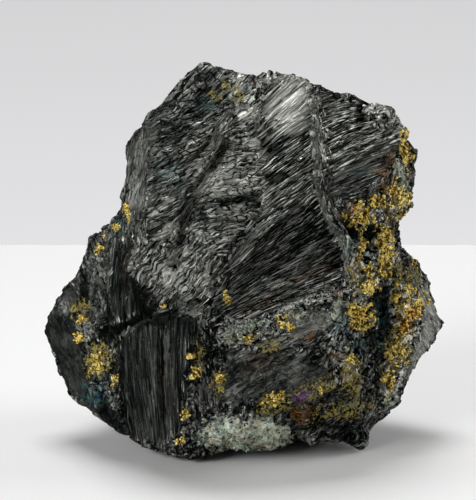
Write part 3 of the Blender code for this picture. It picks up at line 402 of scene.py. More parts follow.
# The kinds of broken surface, those of the back seen square on, in layout units
ZONES = {
    "fan": broken([
        (2.6, 68), (5.4, 76), (12.2, 76), (13.4, 67), (13.4, 62), (14.6, 54), (17, 49), (20, 44),
        (21.4, 39.6), (21, 35), (18, 33), (11, 31.6), (3.4, 28.4), (-3.4, 27), (-6.4, 32), (-4, 39),
        (1, 45), (3.4, 51), (2.6, 58), (3.4, 64),
    ], turn=40, size=(0.75, 8), relief=(0.1, 0.12, 0.14, 0.05), waver=0.06, fibre=1, guides="fan",
    blades=(0.7, (2.5, 7), (0.12, 0.4), (0.04, 0.22))),
    "shoulder": broken([
        (14.6, 74.4), (21, 73), (23.4, 71), (24.6, 67), (31, 66), (31.6, 64), (30, 62), (27.4, 60.4),
        (27.6, 54), (20, 52), (16, 53), (14.6, 60),
    ], turn=24, size=(0.8, 7), relief=(0.09, 0.1, 0.12, 0.05), waver=0.08, fibre=1, guides="shoulder",
    blades=(0.6, (2, 6), (0.12, 0.4), (0.04, 0.2))),
    "lower bundle": broken([
        (-25.4, 25), (-19, 27), (-14, 28.4), (-9, 28), (-8, 23), (-11, 21.6), (-12, 16), (-11, 10),
        (-13, 6), (-16, 2.4), (-21, 4), (-24, 7), (-25.4, 12),
    ], turn=-86, size=(0.65, 7), relief=(0.1, 0.1, 0.14, 0.05), waver=0.15, fibre=0.9,
    guides="lower bundle", blades=(0.5, (1.2, 3.6), (0.1, 0.28), (0.06, 0.26))),
    "upper bundle": broken([
        (-27, 45), (-19, 45), (-18, 32), (-19, 28.4), (-23.4, 27), (-27.4, 26), (-28.6, 34),
    ], turn=-88, size=(0.7, 5), relief=(0.1, 0.1, 0.14, 0.05), waver=0.2, fibre=0.9, guides="upper bundle",
    blades=(0.5, (1.2, 3.2), (0.1, 0.28), (0.06, 0.26))),
    "hackly": broken([
        (-22, 66), (-16, 72), (-6, 71.6), (2, 71), (2.6, 66), (1.8, 58), (3.4, 50.8), (-1.8, 44.4),
        (-6.2, 39.6), (-9, 29.6), (-15, 29.6), (-19, 30.4), (-19.6, 36), (-20, 45), (-20, 52), (-19.6, 60),
    ], turn=27, size=(0.42, 2.8), relief=(0.08, 0.11, 0.05, 0.04), waver=0.7, fibre=0.45,
    plates=(0.3, (0.6, 2.2), (0.16, 0.4), (0.02, 0.12))),
    "scales": broken([
        (-4, 64.6), (1.8, 66), (3.8, 61.8), (3.4, 50.8), (-1.8, 44.4), (-5.8, 39.6), (-8.2, 40.4),
        (-8.4, 45.4), (-8.4, 52), (-7, 57.6), (-5, 62),
    ], turn=12, size=(0.5, 2.2), relief=(0.09, 0.1, 0.05, 0.03), waver=1, fibre=0.4,
    plates=(0.2, (0.6, 1.8), (0.16, 0.4), (0.02, 0.1))),
    "groove": broken([
        (-3.8, 69.6), (-1.8, 70.4), (-4.2, 64), (-6.6, 57.6), (-9.4, 52), (-11.4, 46.8), (-14.6, 39.6),
        (-17, 40.4), (-13.8, 47.6), (-10.6, 54), (-8.2, 60), (-6.2, 65.2),
    ], turn=52, size=(0.45, 3.4), relief=(0.08, 0.11, 0.06, 0.04), waver=0.4, fibre=0.6,
    plates=(0.9, (0.8, 2.4), (0.16, 0.4), (0.04, 0.2))),
    "low hackly": broken([
        (-22.4, 43.6), (-17, 44), (-12.2, 46.4), (-8.2, 44.8), (-6.6, 39.6), (-7.8, 32), (-13.4, 29.2),
        (-19, 30.8), (-22.8, 36.4), (-23.8, 40.2),
    ], turn=50, size=(0.45, 2.2), relief=(0.09, 0.12, 0.05, 0.03), waver=1.2, fibre=0.4,
    plates=(0.2, (0.6, 1.8), (0.16, 0.4), (0.02, 0.12))),
    "left flank": broken([
        (-20, 68), (-19.6, 60), (-20.4, 50), (-21, 45), (-29, 45), (-26, 50), (-25.6, 62),
    ], turn=80, size=(0.6, 2.6), relief=(0.04, 0.06, 0.04, 0.02), waver=0.4, fibre=0.5,
    plates=(0.2, (0.5, 1.5), (0.2, 0.5), (0.03, 0.1))),
    "top": broken([
        (-22, 66), (-16, 70.6), (-6, 71.6), (2, 71), (4, 78), (-4, 80), (-12, 80), (-20, 70),
    ], turn=42, size=(0.6, 2.6), relief=(0.07, 0.1, 0.03, 0.03), waver=0.4, fibre=0.3,
    plates=(0.15, (0.6, 1.6), (0.25, 0.6), (0.01, 0.08))),
    "flakes": broken([
        (-8.6, 28), (-3, 26.6), (-5, 18), (-6, 11), (-9, 8), (-12, 8), (-11, 16), (-10.4, 22),
    ], turn=-84, size=(0.6, 2), relief=(0.11, 0.13, 0.12, 0.04), waver=0.3, fibre=0.6,
    plates=(1.1, (0.5, 1.4), (0.16, 0.4), (0.08, 0.34))),
    "slab": broken([
        (-4, 22), (0, 23), (8, 24.6), (14, 27.6), (16, 24), (15, 16), (8, 14), (0, 11.6), (-5, 13),
    ], turn=30, size=(0.8, 2), relief=(0.04, 0.05, 0.04, 0.02), waver=0.5, fibre=0.2,
    plates=(0.2, (0.4, 1), (0.2, 0.5), (0.03, 0.12))),
    "brass": broken([
        (20, 50), (27, 54), (34, 55), (34, 50), (31, 45), (33, 40), (34, 33), (36, 28), (34, 21), (31, 14),
        (26, 9), (22, 14), (20.4, 22), (20, 30), (21.4, 38), (22, 44),
    ], turn=75, size=(0.9, 1.2), relief=(0.2, 0.24, 0.2, 0), waver=0.7, fibre=0.2,
    plates=(0.5, (0.3, 0.8), (0.2, 0.45), (0.06, 0.3))),
    "ribbon": broken([
        (13, 76), (13.6, 67.6), (14.2, 61.8), (14.8, 55.6), (15.4, 50.8), (18.6, 44.4), (20, 36), (22, 36),
        (21, 45.6), (17.8, 51.2), (17, 56), (16.4, 61.8), (15.4, 67.6), (14.8, 75.6),
    ], turn=-84, size=(0.8, 2.4), relief=(0.02, 0.08, 0.03, 0.02), waver=0.4, fibre=0.4, guides="ribbon",
    plates=(1.2, (0.4, 1.3), (0.2, 0.5), (0.04, 0.2))),
    "mica": broken([
        (33, 42), (36, 39), (41, 27), (38, 22), (34, 17), (32.6, 22), (36, 27), (34.6, 33), (32, 38),
    ], turn=-62, size=(0.35, 1.6), relief=(0.1, 0.1, 0.08, 0), waver=0.2, fibre=0.9,
    plates=(1.2, (0.5, 1.4), (0.12, 0.3), (0.06, 0.3))),
    "lobe": broken([
        (-41, 26), (-34, 38), (-29, 46), (-27.6, 38), (-28.4, 26), (-25.6, 25), (-25.4, 6), (-36, 12),
    ], turn=-70, size=(0.8, 1.4), relief=(0.06, 0.1, 0.05, 0.02), waver=0.6, fibre=0.3,
    plates=(0.3, (0.3, 1), (0.2, 0.5), (0.02, 0.1))),
    "matrix": broken([
        (-11, 8), (-5, 9.8), (2, 9.4), (8.6, 9), (11, 5), (8, 0), (-6, 0), (-13, 0),
    ], turn=20, size=(0.7, 0.9), relief=(0.12, 0.14, 0.12, 0), waver=0.4, fibre=0.1,
    plates=(0.2, (0.3, 0.7), (0.2, 0.4), (0.05, 0.2))),
    "crystal band": broken([
        (-9, 20.6), (-3, 22), (4, 23.6), (12, 27), (16, 29.4), (19, 33.4), (17, 35.4), (10, 31.6),
        (3.4, 29), (-4, 28.6), (-9, 24),
    ], turn=20, size=(0.55, 0.8), relief=(0.14, 0.18, 0.14, 0), waver=0.4, fibre=0.2,
    plates=(0.8, (0.3, 0.7), (0.16, 0.35), (0.08, 0.3))),
    "back crown": broken([
        (-20, 56), (-13, 68), (0, 74), (15, 71), (11, 60), (-4, 58),
    ], turn=57, size=(0.8, 7), relief=(0.14, 0.14, 0.16, 0.05), waver=0.2, fibre=0.9, side="back",
    blades=(0.5, (1.4, 4), (0.24, 0.6), (0.1, 0.4))),
    "back middle": broken([
        (-12, 61), (-5, 60), (3, 56), (11, 59), (14, 48), (8, 40), (10, 33), (1, 26), (-6, 31), (-14, 29),
        (-10, 44),
    ], turn=78, size=(0.8, 8), relief=(0.14, 0.14, 0.16, 0.05), waver=0.2, fibre=0.9, side="back",
    blades=(0.5, (1.6, 5), (0.24, 0.6), (0.1, 0.4))),
    "back left": broken([
        (-33, 36), (-25, 31), (-19, 35), (-14, 24), (-19, 7), (-26, 11), (-29, 20),
    ], turn=-25, size=(0.8, 6), relief=(0.14, 0.14, 0.16, 0.05), waver=0.2, fibre=0.9, side="back",
    blades=(0.5, (1.2, 3.6), (0.24, 0.6), (0.1, 0.4))),
    "back right": broken([
        (11, 58), (20, 51), (29, 54), (34, 43), (30, 35), (24, 32), (16, 41),
    ], turn=-18, size=(0.8, 6), relief=(0.14, 0.14, 0.16, 0.05), waver=0.2, fibre=0.9, side="back",
    blades=(0.5, (1.2, 3.6), (0.24, 0.6), (0.1, 0.4))),
}
ELSEWHERE = broken(
    [], turn=20, size=(0.8, 1.6), relief=(0.1, 0.13, 0.1, 0.02), waver=0.6, fibre=0.25, side="any",
    plates=(0.4, (0.5, 1.8), (0.3, 0.8), (0.08, 0.36)),
)

# Size and step of the main grains that the fine ones lie on, and the size and step of the fine ones
GRAIN_LAYERS = ((3.0, 1.7), (1.0, 1.0))

# Patches of other minerals on the front: across, up, half width, half height, lean in degrees
BRASS_PATCHES = [
    (32.4, 61.6, 1.4, 4.4, 10), (29.6, 54, 1.8, 2, 0), (31.2, 52.8, 1.8, 2, -20), (31.2, 49.2, 1, 1.6, -10),
    (22.4, 48.4, 3, 2.4, 6), (23.4, 42.5, 0.8, 2.9, 0), (27.8, 43.6, 2, 4, 0), (27.8, 39.5, 1.6, 3.7, 0),
    (24.8, 34.9, 1.8, 1.7, 0), (23.3, 28.5, 2.7, 3.1, 0), (25.5, 51.4, 0.9, 1.2, 0),
    (21.2, 27.2, 1, 0.8, 0), (21.1, 20.1, 1.3, 1.1, 0), (30.5, 32.6, 1.3, 2.6, 0), (33, 29.4, 2, 4.2, -40),
    (34, 29.8, 1, 3.4, -15), (31.4, 26.4, 1.2, 2.4, 0), (30.5, 21.6, 2.1, 2.4, 0),
    (28.7, 15.9, 1.5, 2.5, 0), (33.9, 39.7, 0.9, 1.3, 0), (-23.6, 49.8, 0.6, 2.2, 8),
    (-25.8, 46.6, 0.8, 1, 0), (-28.3, 44.8, 0.5, 0.8, 0), (-29.1, 42.1, 0.9, 1.3, 0),
    (-32.8, 28, 1, 1.2, 0), (-33.2, 24.4, 1, 1.2, 0), (-29.6, 20, 1.8, 1.6, 0), (-30.4, 18, 1.4, 1.2, 0),
    (-25.8, 16.2, 0.8, 1, 0), (-16.5, 30.7, 0.7, 0.7, 0), (-3.8, 32.1, 0.8, 1.3, 0), (-11, 21, 0.8, 1, 0),
    (-9.8, 17.2, 1.2, 1.6, 0), (-5.2, 16.6, 1, 1.4, 0), (-12, 9.2, 1, 1.2, 0), (-12.8, 3.8, 1.4, 1, 0),
    (7.2, 27.8, 1, 1.4, 0), (9.1, 26.8, 0.9, 1.2, 0), (1.1, 24.3, 1.1, 1.1, 0), (6, 12.6, 2.2, 1.4, 10),
    (15.2, 14, 0.6, 0.8, 0), (22.8, 51, 1.4, 1, 0), (33, 33.8, 1.2, 1.8, 0), (28.9, 44, 1.3, 2, 0),
    (27.4, 51.4, 2, 1.4, 0), (21.7, 30.2, 1.7, 1.8, 0), (24.6, 37.8, 1.2, 1.8, 0),
]
BRONZE_PATCHES = [
    (5.6, 11.2, 3.4, 2.4, 10), (13.8, 14.2, 6, 1.8, 18), (19.8, 10.2, 5.6, 2.2, 10),
    (21.2, 16.8, 2.2, 4.8, 0), (0, 24.4, 3.4, 0.8, 15), (23.2, 49.2, 3, 1.6, 0),
    (30.6, 49.4, 2.8, 2.6, -30), (22.2, 36.6, 1.6, 5.4, 0), (30, 38, 1.4, 4, 0), (33.2, 37.2, 2.2, 2.4, 0),
    (30.6, 22.8, 2.8, 5.2, 0), (5.4, 23, 2, 1.4, 0), (-5.4, 15, 1.6, 2.6, 0), (-32.8, 30.4, 2.2, 1.6, 40),
    (-29.4, 20.2, 2.8, 3.8, -20), (-28.8, 20.8, 1, 1.2, 0), (-9.2, 20.8, 1.4, 3.2, 0),
    (-3.8, 74.8, 1, 1.2, 0), (-1.3, 73, 1.5, 1.8, 20), (-6.1, 72.8, 1.3, 1, 0),
]
PALE_PATCHES = [
    (0.6, 26.8, 4.4, 1.2, 12), (-2.8, 24.4, 1.8, 1.2, 0), (9.8, 29.2, 2.8, 1.2, 20),
    (18.6, 30.8, 2, 1.2, 30), (-3.2, 4.8, 6.6, 3.6, 0), (4.2, 5.8, 6, 3.8, 0), (0.2, 3, 8, 3.4, 0),
    (20.4, 23, 1, 1.4, 40), (18, 29, 1.8, 1.8, 30), (28.6, 11.6, 1.2, 1.2, 30), (31.2, 56.8, 1, 3.2, 10),
    (32.2, 54.8, 0.8, 2, 10), (0.8, 27.8, 0.6, 1, 0),
]
TEAL_PATCHES = [
    (21, 42.5, 1.4, 2.1, 0), (19.6, 27, 1.8, 3.8, 0), (25.2, 39, 1.2, 2.4, 0), (3.4, 27.6, 2.4, 2, 14),
    (28.6, 11.2, 2, 1.6, 0), (-6.8, 5, 3, 3.4, 0), (24.2, 48, 2, 1.2, 0), (31.2, 55.8, 1, 1.8, 20),
    (-25, 47.2, 1.2, 2.4, 0), (29.4, 34, 1.6, 2, 0), (27.2, 27.4, 1.4, 5.4, 0), (21.2, 11.4, 2.2, 1.4, 0),
    (22.8, 23, 1.4, 3, 0), (18.4, 25.8, 1.4, 2.6, 0), (22.8, 57.4, 1.4, 1.4, 0), (-1.4, 73, 2.4, 2.2, 0),
    (-14.6, 57, 2.4, 5, 30), (-7.2, 71.2, 2.6, 1.6, 0), (-29.6, 13.4, 2.6, 3.4, -30), (29, 37.6, 1.2, 2, 0),
]
RUST_PATCHES = [
    (12.4, 37, 3.4, 1.4, 28), (0.8, 30.2, 2.6, 1.8, 40), (4.6, 32, 2.4, 1.6, 30), (-20.2, 32, 1.2, 4, 0),
    (-16.4, 15, 1, 7, 0), (-24, 38, 1, 4, 0), (14, 8.6, 1.8, 1.4, 0), (8.2, 12, 2.8, 0.8, 15),
    (18.4, 33.2, 1.4, 0.8, 20), (3, 19.6, 4, 2, 20),
]
AMBER_PATCHES = [
    (11.6, 9.2, 2.2, 2.4, 10), (29.2, 60.4, 1.8, 1.6, 0), (27.8, 57.6, 1.6, 1.6, 0),
    (28.6, 55.2, 2, 2.4, 0), (21.6, 50.6, 1.4, 1, 30), (32.6, 27.8, 2.4, 3, -30),
    (18.4, 20.8, 1.4, 1.2, 20), (19.2, 17.2, 2.2, 1.2, 0), (12.6, 24.8, 1.6, 1.2, 0),
]
VIOLET_PATCHES = [
    (11.2, 12.8, 1.8, 1.2, 16),
]

# Other minerals on the back, seen square on: across, height, half width, half height, lean
BACK_BRASS_PATCHES = [
    (-27, 42, 3, 2.2, 30), (30, 42, 2.2, 4, 0), (2, 18, 4, 2.4, 10), (-30, 14, 2.4, 3, 0),
    (20, 63, 2.6, 1.8, -30), (12, 34, 1.6, 4, 15), (-12, 66, 2.2, 1.2, 10),
]
BACK_PALE_PATCHES = [
    (26, 14, 5, 4, 20), (31, 28, 2.2, 6, 0), (-8, 12, 6, 2, 10), (-20, 31, 4.4, 1.2, 20),
    (6, 60, 5, 1, -10), (0, 6, 9, 3, 0),
]

# The patches of each mineral and tint, on the front and on the back
PATCHES = {
    "brass": (BRASS_PATCHES, BACK_BRASS_PATCHES),
    "pale": (PALE_PATCHES, BACK_PALE_PATCHES),
    "bronze": (BRONZE_PATCHES, []),
    "teal": (TEAL_PATCHES, BACK_PALE_PATCHES[:2]),
    "rust": (RUST_PATCHES, BACK_BRASS_PATCHES[:3]),
    "amber": (AMBER_PATCHES, BACK_BRASS_PATCHES[2:4]),
    "violet": (VIOLET_PATCHES, []),
}

# Facets of the front: how light the ore is on each, a lightness that holds its own tone together with
# painted light on facets turned to the lamps and painted shade on those turned away or sunk in hollows, how
# calm its streaks are, and the facet's edge
FACET_LIGHT_AND_SHADE = {
    "shoulder": (0.44, 0.3, [
        (13.8, 74.4), (20, 72.4), (25.4, 69.6), (30.2, 67.2), (31, 62), (27.8, 56.4), (21, 52.8),
        (16.6, 50.8), (15, 58), (14.2, 68),
    ]),
    "shoulder band": (0.78, 0.1, [
        (14.6, 67.6), (19.8, 69.6), (29.4, 67.2), (30.6, 64.8), (23.4, 62.4), (15, 58.8),
    ]),
    "shoulder blue": (0.466, 0.6, [
        (15.4, 55.6), (21, 58.8), (30.2, 62.4), (29.4, 60), (21, 55.2), (16.6, 52),
    ]),
    "fan upper": (0.688, 0, [
        (3.4, 62), (13.4, 66.8), (14.6, 59), (15.4, 52.8), (11, 49.6), (3.8, 45.6), (1.8, 54), (3.4, 59),
    ]),
    "fan middle": (0.346, 0, [
        (3.4, 45.6), (11, 49.6), (15.8, 52.8), (17.8, 48.8), (11, 44.8), (3.4, 39.6), (-1, 36),
        (-1.8, 39.6),
    ]),
    "fan dark": (0.393, 0, [
        (-1, 36), (3.4, 39.6), (11, 44.8), (17.8, 48.8), (20.2, 42), (19, 39.6), (11, 37.6), (3.4, 33.6),
        (-4, 28.4), (-6.6, 30.4),
    ]),
    "fan low": (0.697, 0, [
        (-4, 28.4), (3.4, 33.6), (11, 37.6), (19, 39.6), (20.2, 35), (14, 33.6), (4.6, 28.4), (-1, 25.6),
        (-5.8, 26.4),
    ]),
    "fan foot": (0.852, 0.1, [
        (4.6, 28.4), (14, 34), (20, 35.2), (21, 33.6), (17, 32), (11, 30.4), (6.2, 27.6),
    ]),
    "bright facet": (0.71, 0.78, [
        (6.2, 76.8), (8, 77.4), (11.8, 76.8), (13.2, 74.8), (13.2, 70), (13, 66), (9.4, 64.8), (4.2, 67.2),
        (3.4, 71),
    ]),
    "ribbon": (0.493, 0.75, [
        (13.2, 75.2), (14.2, 72.8), (14.2, 67.6), (15, 61.8), (15.4, 55.6), (16, 51.2), (19, 45),
        (21, 39.6), (21, 36.8), (19.8, 39.6), (17.8, 44), (14.6, 50.4), (13.8, 55.6), (13.4, 62),
        (12.8, 67.6),
    ]),
    "ribbon tip": (0.58, 0.3, [(19.8, 39.6), (21.4, 39.6), (21.4, 35.6), (20.2, 36)]),
    "rough bright": (0.78, 0.3, [(-3, 70), (-2, 71.2), (2.2, 72), (3.8, 70.4), (2.2, 67.6), (-1, 68.4)]),
    "top knob": (0.411, 0.2, [
        (-12.6, 72.8), (-11, 76.4), (-9, 78.8), (-6.6, 79.2), (-4.2, 78.4), (-2.6, 76), (-4.6, 73.6),
        (-7.8, 72.8), (-9.8, 70.8),
    ]),
    "knob edge": (0.622, 0.4, [
        (-9.8, 78.8), (-8, 79.6), (-4.6, 79), (-1, 77), (-1.4, 75.6), (-4.6, 77.6), (-7.4, 78.4),
    ]),
    "knob right": (0.63, 0.25, [
        (-4.2, 78.4), (3.4, 77.6), (6.2, 76.8), (3.4, 72), (-1, 71.2), (-3.4, 72.8), (-2.6, 76),
    ]),
    "upper hackly": (0.452, 0.1, [
        (-16.6, 68.4), (-12.6, 72.8), (-7.8, 72.8), (-3.4, 72.4), (-3.8, 69.6), (-6.2, 64.4), (-9.8, 60),
        (-15, 55.6), (-17.4, 54), (-18.6, 58), (-17.4, 64),
    ]),
    "pitted dark": (0.335, 0, [
        (-13.8, 72.4), (-7.8, 73.2), (-3.8, 72.4), (-4.6, 70), (-7.4, 67.2), (-11, 65.2), (-12.6, 66.4),
        (-14.6, 69.6),
    ]),
    "mid left hackly": (0.681, 0.15, [
        (-15, 55.6), (-9.8, 60), (-6.2, 64.4), (-7.4, 60.4), (-9.8, 57.2), (-12.2, 53.6), (-17, 49),
        (-19.4, 48.8), (-19, 53),
    ]),
    "light hackly": (0.71, 0.3, [
        (-4, 64.6), (1.8, 66), (3.8, 61.8), (2.2, 54.8), (-2, 53.2), (-8.2, 52), (-8.8, 54.8), (-7.4, 57.2),
        (-5, 60.6),
    ]),
    "light plates": (0.767, 0.45, [(-7.8, 56.8), (-4.6, 57.6), (-1, 55.6), (-4.6, 52.8), (-7.8, 52)]),
    "hackly shade": (0.372, 0.2, [
        (-8.8, 52), (-4.6, 52.6), (2.2, 54), (3.8, 51), (-1.8, 50), (-7.8, 49.6),
    ]),
    "lower hackly": (0.645, 0.15, [
        (-7.8, 50), (-1.8, 50.8), (3.8, 50.8), (-2, 44.4), (-5.8, 39.6), (-8.8, 38.4), (-8.2, 45.4),
    ]),
    "groove plates": (0.805, 0.45, [
        (-12.6, 46), (-10.2, 47.6), (-8.2, 45.4), (-8.2, 40.4), (-10.2, 36.8), (-12.6, 38.4),
    ]),
    "left plates": (0.95, 0.45, [
        (-17.4, 46), (-13, 48.2), (-13, 44.4), (-17, 40.6), (-18.6, 37.2), (-19.8, 38.6), (-19.4, 43.4),
    ]),
    "groove": (0.488, 0.3, [
        (-3, 70.8), (-2.2, 70.4), (-4.6, 64), (-7.4, 57.6), (-9.8, 52.8), (-12.2, 47.6), (-13.4, 48.4),
        (-11.8, 52.8), (-8.6, 58.8), (-5.8, 64.4), (-3.8, 69.6),
    ]),
    "groove streaks": (0.846, 0.4, [
        (-9.8, 60), (-7.8, 61.6), (-6.2, 64), (-7, 60.4), (-9, 57.6), (-11, 55.2),
    ]),
    "left facet": (0.436, 0.65, [
        (-23.8, 62.8), (-23.2, 63.8), (-19.4, 67.6), (-17, 69.6), (-16.6, 66.2), (-17.8, 61.8), (-19, 57),
        (-19.8, 53.2), (-20.8, 48.4), (-22.4, 48.8), (-23.4, 55.2),
    ]),
    "left facet top": (0.338, 0.65, [(-19.4, 67.6), (-17, 69.6), (-16.4, 68.4), (-17.4, 65.2), (-19, 64)]),
    "left crease": (0.578, 0.3, [
        (-17, 68.4), (-16, 68), (-17, 62), (-18.2, 56.8), (-19, 52), (-20.2, 48.8), (-19.8, 54),
        (-18.6, 60),
    ]),
    "hackly lit": (0.616, 0.15, [
        (-22.4, 43.6), (-17, 44), (-12.2, 46.4), (-8.4, 44), (-6.6, 38.8), (-9.4, 34), (-14.2, 31.6),
        (-17, 31.6), (-19, 34), (-22.8, 36.4), (-23.8, 40.2),
    ]),
    "hackly bright": (0.751, 0.3, [
        (-15.8, 41.6), (-12.2, 42.8), (-8.4, 42), (-7.8, 39.6), (-9.4, 35.2), (-13, 33.6), (-15.8, 34.4),
        (-17, 38),
    ]),
    "fold": (0.561, 0.45, [
        (-7.8, 39.6), (-5.4, 39.6), (-6.6, 32), (-9.8, 28.4), (-13.8, 29.6), (-14.2, 31.6), (-9.4, 34),
    ]),
    "upper edge": (0.423, 0.5, [
        (-33.4, 30.2), (-33.4, 36), (-31, 42), (-28.6, 44), (-25.4, 44.8), (-25, 39.6), (-26.6, 34),
        (-28.2, 27.6), (-30.6, 26), (-32.2, 28.4),
    ]),
    "upper bundle": (0.122, 0.85, [
        (-26.6, 35.6), (-23, 36.8), (-19, 33.6), (-19.8, 30.8), (-23.8, 28.8), (-27.4, 27.6), (-27.8, 32),
    ]),
    "upper bundle top": (0.253, 0.75, [
        (-26.6, 44.4), (-22.4, 44.4), (-23.4, 40), (-23, 36.8), (-26.6, 35.2), (-27, 39.6),
    ]),
    "lobe": (0.2, 0.95, [
        (-40.2, 26.4), (-38.6, 29.6), (-36.2, 34.4), (-33.8, 34.4), (-33.4, 30.2), (-34.4, 28.2),
        (-33.4, 24.4), (-30.6, 16.2), (-32, 12.4), (-35.8, 12.8), (-38.2, 19.2),
    ]),
    "lobe crest": (0.28, 0.95, [(-37.8, 29.6), (-35.8, 33.6), (-33.8, 34), (-33.8, 30.8), (-35.4, 28.4)]),
    "lobe foot": (0.195, 0.6, [
        (-35.8, 12.8), (-32, 12.4), (-29.4, 13.6), (-23.4, 7.2), (-21.8, 4), (-26.6, 5.2), (-32.2, 9.2),
    ]),
    # Painted shade: near-black ore in the crack between the bundles
    "shaded_gap": (0.0316, 0.9, [
        (-29, 26.8), (-25.4, 27.2), (-21, 29.2), (-17.8, 31.6), (-17.4, 30.4), (-20.6, 27.6), (-24.6, 25.6),
        (-27, 24), (-29.4, 24.4),
    ]),
    # Painted shade: near-black ore in a deep pocket
    "pocket": (0.0757, 0.8, [(-33, 36.8), (-31.8, 37.6), (-31, 34), (-31.4, 30.8), (-33, 31.6)]),
    "lower bundle": (0.2, 0.82, [
        (-24.6, 24), (-20.6, 27.6), (-17.4, 29.6), (-13.8, 29.2), (-9.8, 28), (-11, 21.6), (-12.6, 16),
        (-13.4, 7.2), (-16.6, 3.2), (-21.8, 4), (-24.2, 10), (-25.4, 18),
    ]),
    "flakes": (0.181, 0, [
        (-11, 26), (-6.2, 26.8), (-3.4, 24), (-4.6, 17.6), (-7.8, 14), (-11.8, 15.2), (-12.2, 21.6),
    ]),
    "slab": (0.35, 0.7, [
        (-9.8, 15.2), (-4.6, 17.6), (-3, 22), (3.4, 22), (11, 20.8), (17, 17.6), (15.4, 14), (7, 12.8),
        (-1, 11.6), (-8.2, 12),
    ]),
    "slab light": (0.608, 0.75, [(7, 27.6), (13.4, 30.4), (18.2, 29.6), (16.6, 26), (11, 24), (7.4, 24.8)]),
    "band": (0.78, 0, [(-6.2, 26), (1, 28.4), (6.2, 28), (9, 25.2), (3.4, 22), (-2.6, 22), (-5.8, 23.2)]),
    "low right": (0.225, 0.1, [
        (-1, 11.6), (7, 12.8), (15.4, 14), (21, 16), (23.4, 12), (22.2, 6), (19, 3.6), (11, 6.4), (4.6, 8),
        (0.2, 9.6),
    ]),
    "right dark": (0.378, 0.5, [
        (25.4, 32), (27.4, 32.8), (28.2, 26), (27.4, 19.6), (25.8, 18.8), (25, 25.6),
    ]),
    "right shade": (0.359, 0.2, [
        (21.4, 52), (27.4, 53.6), (28.6, 51.2), (26.2, 47.2), (22.2, 45.6), (19.8, 47.6),
    ]),
    "right upper": (0.613, 0.1, [
        (20.2, 72.4), (25.4, 70.8), (27.8, 71.2), (30.6, 69.6), (31.8, 65.6), (30.6, 64), (27, 68),
    ]),
    "far lobe": (0.49, 0.4, [(30.2, 43.2), (33.4, 39.6), (35.8, 34), (34.6, 32), (31.8, 36), (29.4, 39.6)]),
    "mica": (0.707, 0.8, [
        (35, 34), (36.6, 36), (38.4, 30.2), (39.4, 26.8), (36, 21.6), (32.6, 16.2), (31.6, 19.2),
        (33.8, 23.2), (35.4, 26),
    ]),
    "foot right": (0.126, 0.2, [(17, 8.8), (22.6, 10.4), (23.8, 4), (21.4, 2.8), (17.8, 4)]),
    "foot left": (0.465, 0.1, [(-21.8, 4), (-16.6, 3.2), (-9.8, 2.4), (-9.4, 0.8), (-15, 0.4), (-19, 1.6)]),
    "fan plank": (0.394, 0.8, [
        (-3.8, 39.2), (-1, 42.6), (3.4, 47.6), (5.4, 50.4), (6.4, 49.8), (3.4, 45.4), (-0.2, 41),
        (-3, 38.2),
    ]),
    "hackly dark": (0.204, 0.1, [
        (-17, 68), (-13.8, 67.2), (-11.8, 65.6), (-12.6, 63.2), (-15.8, 62.8), (-17.8, 60.8), (-17.8, 64),
    ]),
    "brass ground": (0.688, 0, [
        (19.8, 50.4), (26.2, 51.2), (30.6, 52.8), (33, 50), (30.2, 46), (31, 39.6), (28.6, 34.4),
        (25.4, 35.6), (24.2, 26), (21, 23), (19.8, 28), (21, 36), (21.4, 42), (19.4, 45.6),
    ]),
    "outer brass ground": (0.839, 0, [
        (28.2, 34), (31.4, 35.2), (35, 32), (35, 24.4), (32.6, 18.8), (30.2, 12.4), (27, 13.6),
        (27.8, 19.6), (29.4, 26),
    ]),
    "right crystals": (0.64, 0, [
        (17, 28), (21, 29.6), (21.4, 23), (23.4, 18.8), (21.4, 15), (17, 18), (15.4, 23),
    ]),
    "matrix stone": (0.759, 0.6, [
        (-9.8, 2.8), (-8, 7), (-5, 8.8), (0.2, 9.2), (4.6, 7.8), (9, 6), (9, 2.4),
    ]),
    # Painted shade on a cleavage face in shadow
    "wedge": (0.418, 0.8, [(2, 69.6), (3, 68.8), (4.8, 64.8), (4.4, 59.6), (3.4, 61.2), (1.8, 66)]),
    # Painted shade: near-black ore in the cavities among the brass
    "brass gap": (0.05, 0.8, [(19.6, 47.6), (22.4, 46.8), (22.6, 44), (21, 44.4), (19.8, 45.6)]),
    "brass gap right": (0.0395, 0.8, [
        (24.2, 48), (27, 47.6), (28.6, 44), (27.8, 42.4), (25.8, 44.8), (24.6, 42.8), (23.8, 44.8),
    ]),
    "brass trench": (0.22, 0.3, [
        (26, 35.2), (28.6, 34), (29, 22.8), (27.8, 19.6), (25.8, 18.8), (24.2, 22.8), (25.8, 28),
    ]),
    "lobe light": (0.557, 0.6, [(-37.8, 31.2), (-35.8, 31.6), (-34.8, 30.4), (-35.4, 29), (-37, 29.6)]),
    "lobe crystals": (0.434, 0.1, [(-32.2, 28.4), (-30.2, 28), (-29.6, 26), (-31.4, 25.4)]),
}


def sight():
    """The viewer's eye and aim, with the forward, right and upward directions of the picture."""
    forward = Vector((0.0, math.cos(VIEW_TILT), -math.sin(VIEW_TILT)))
    right = Vector((1.0, 0.0, 0.0))
    upward = Vector((0.0, math.sin(VIEW_TILT), math.cos(VIEW_TILT)))
    aim = Vector((AIM_ACROSS * UNIT, 0.0, AIM_HEIGHT)) + LAYOUT_SHIFT
    return aim - forward * VIEW_DISTANCE, aim, forward, right, upward


def seen(across, up, depth):
    """The point that appears at across, up in the picture plane and lies at this depth."""
    eye, aim, _, right, upward = sight()
    on_plane = aim + right * ((across - AIM_ACROSS) * UNIT) + upward * ((up - AIM_UP) * UNIT)
    ray = on_plane - eye
    return eye + ray * ((depth * UNIT + LAYOUT_SHIFT.y - eye.y) / ray.y)


def in_picture(points):
    """Where an array of points appears in the picture plane, in layout units."""
    eye, _, forward, right, upward = (np.array(vector) for vector in sight())
    offset = points - eye
    scale = VIEW_DISTANCE / (offset @ forward) / UNIT
    return np.stack([AIM_ACROSS + offset @ right * scale, AIM_UP + offset @ upward * scale], axis=1)


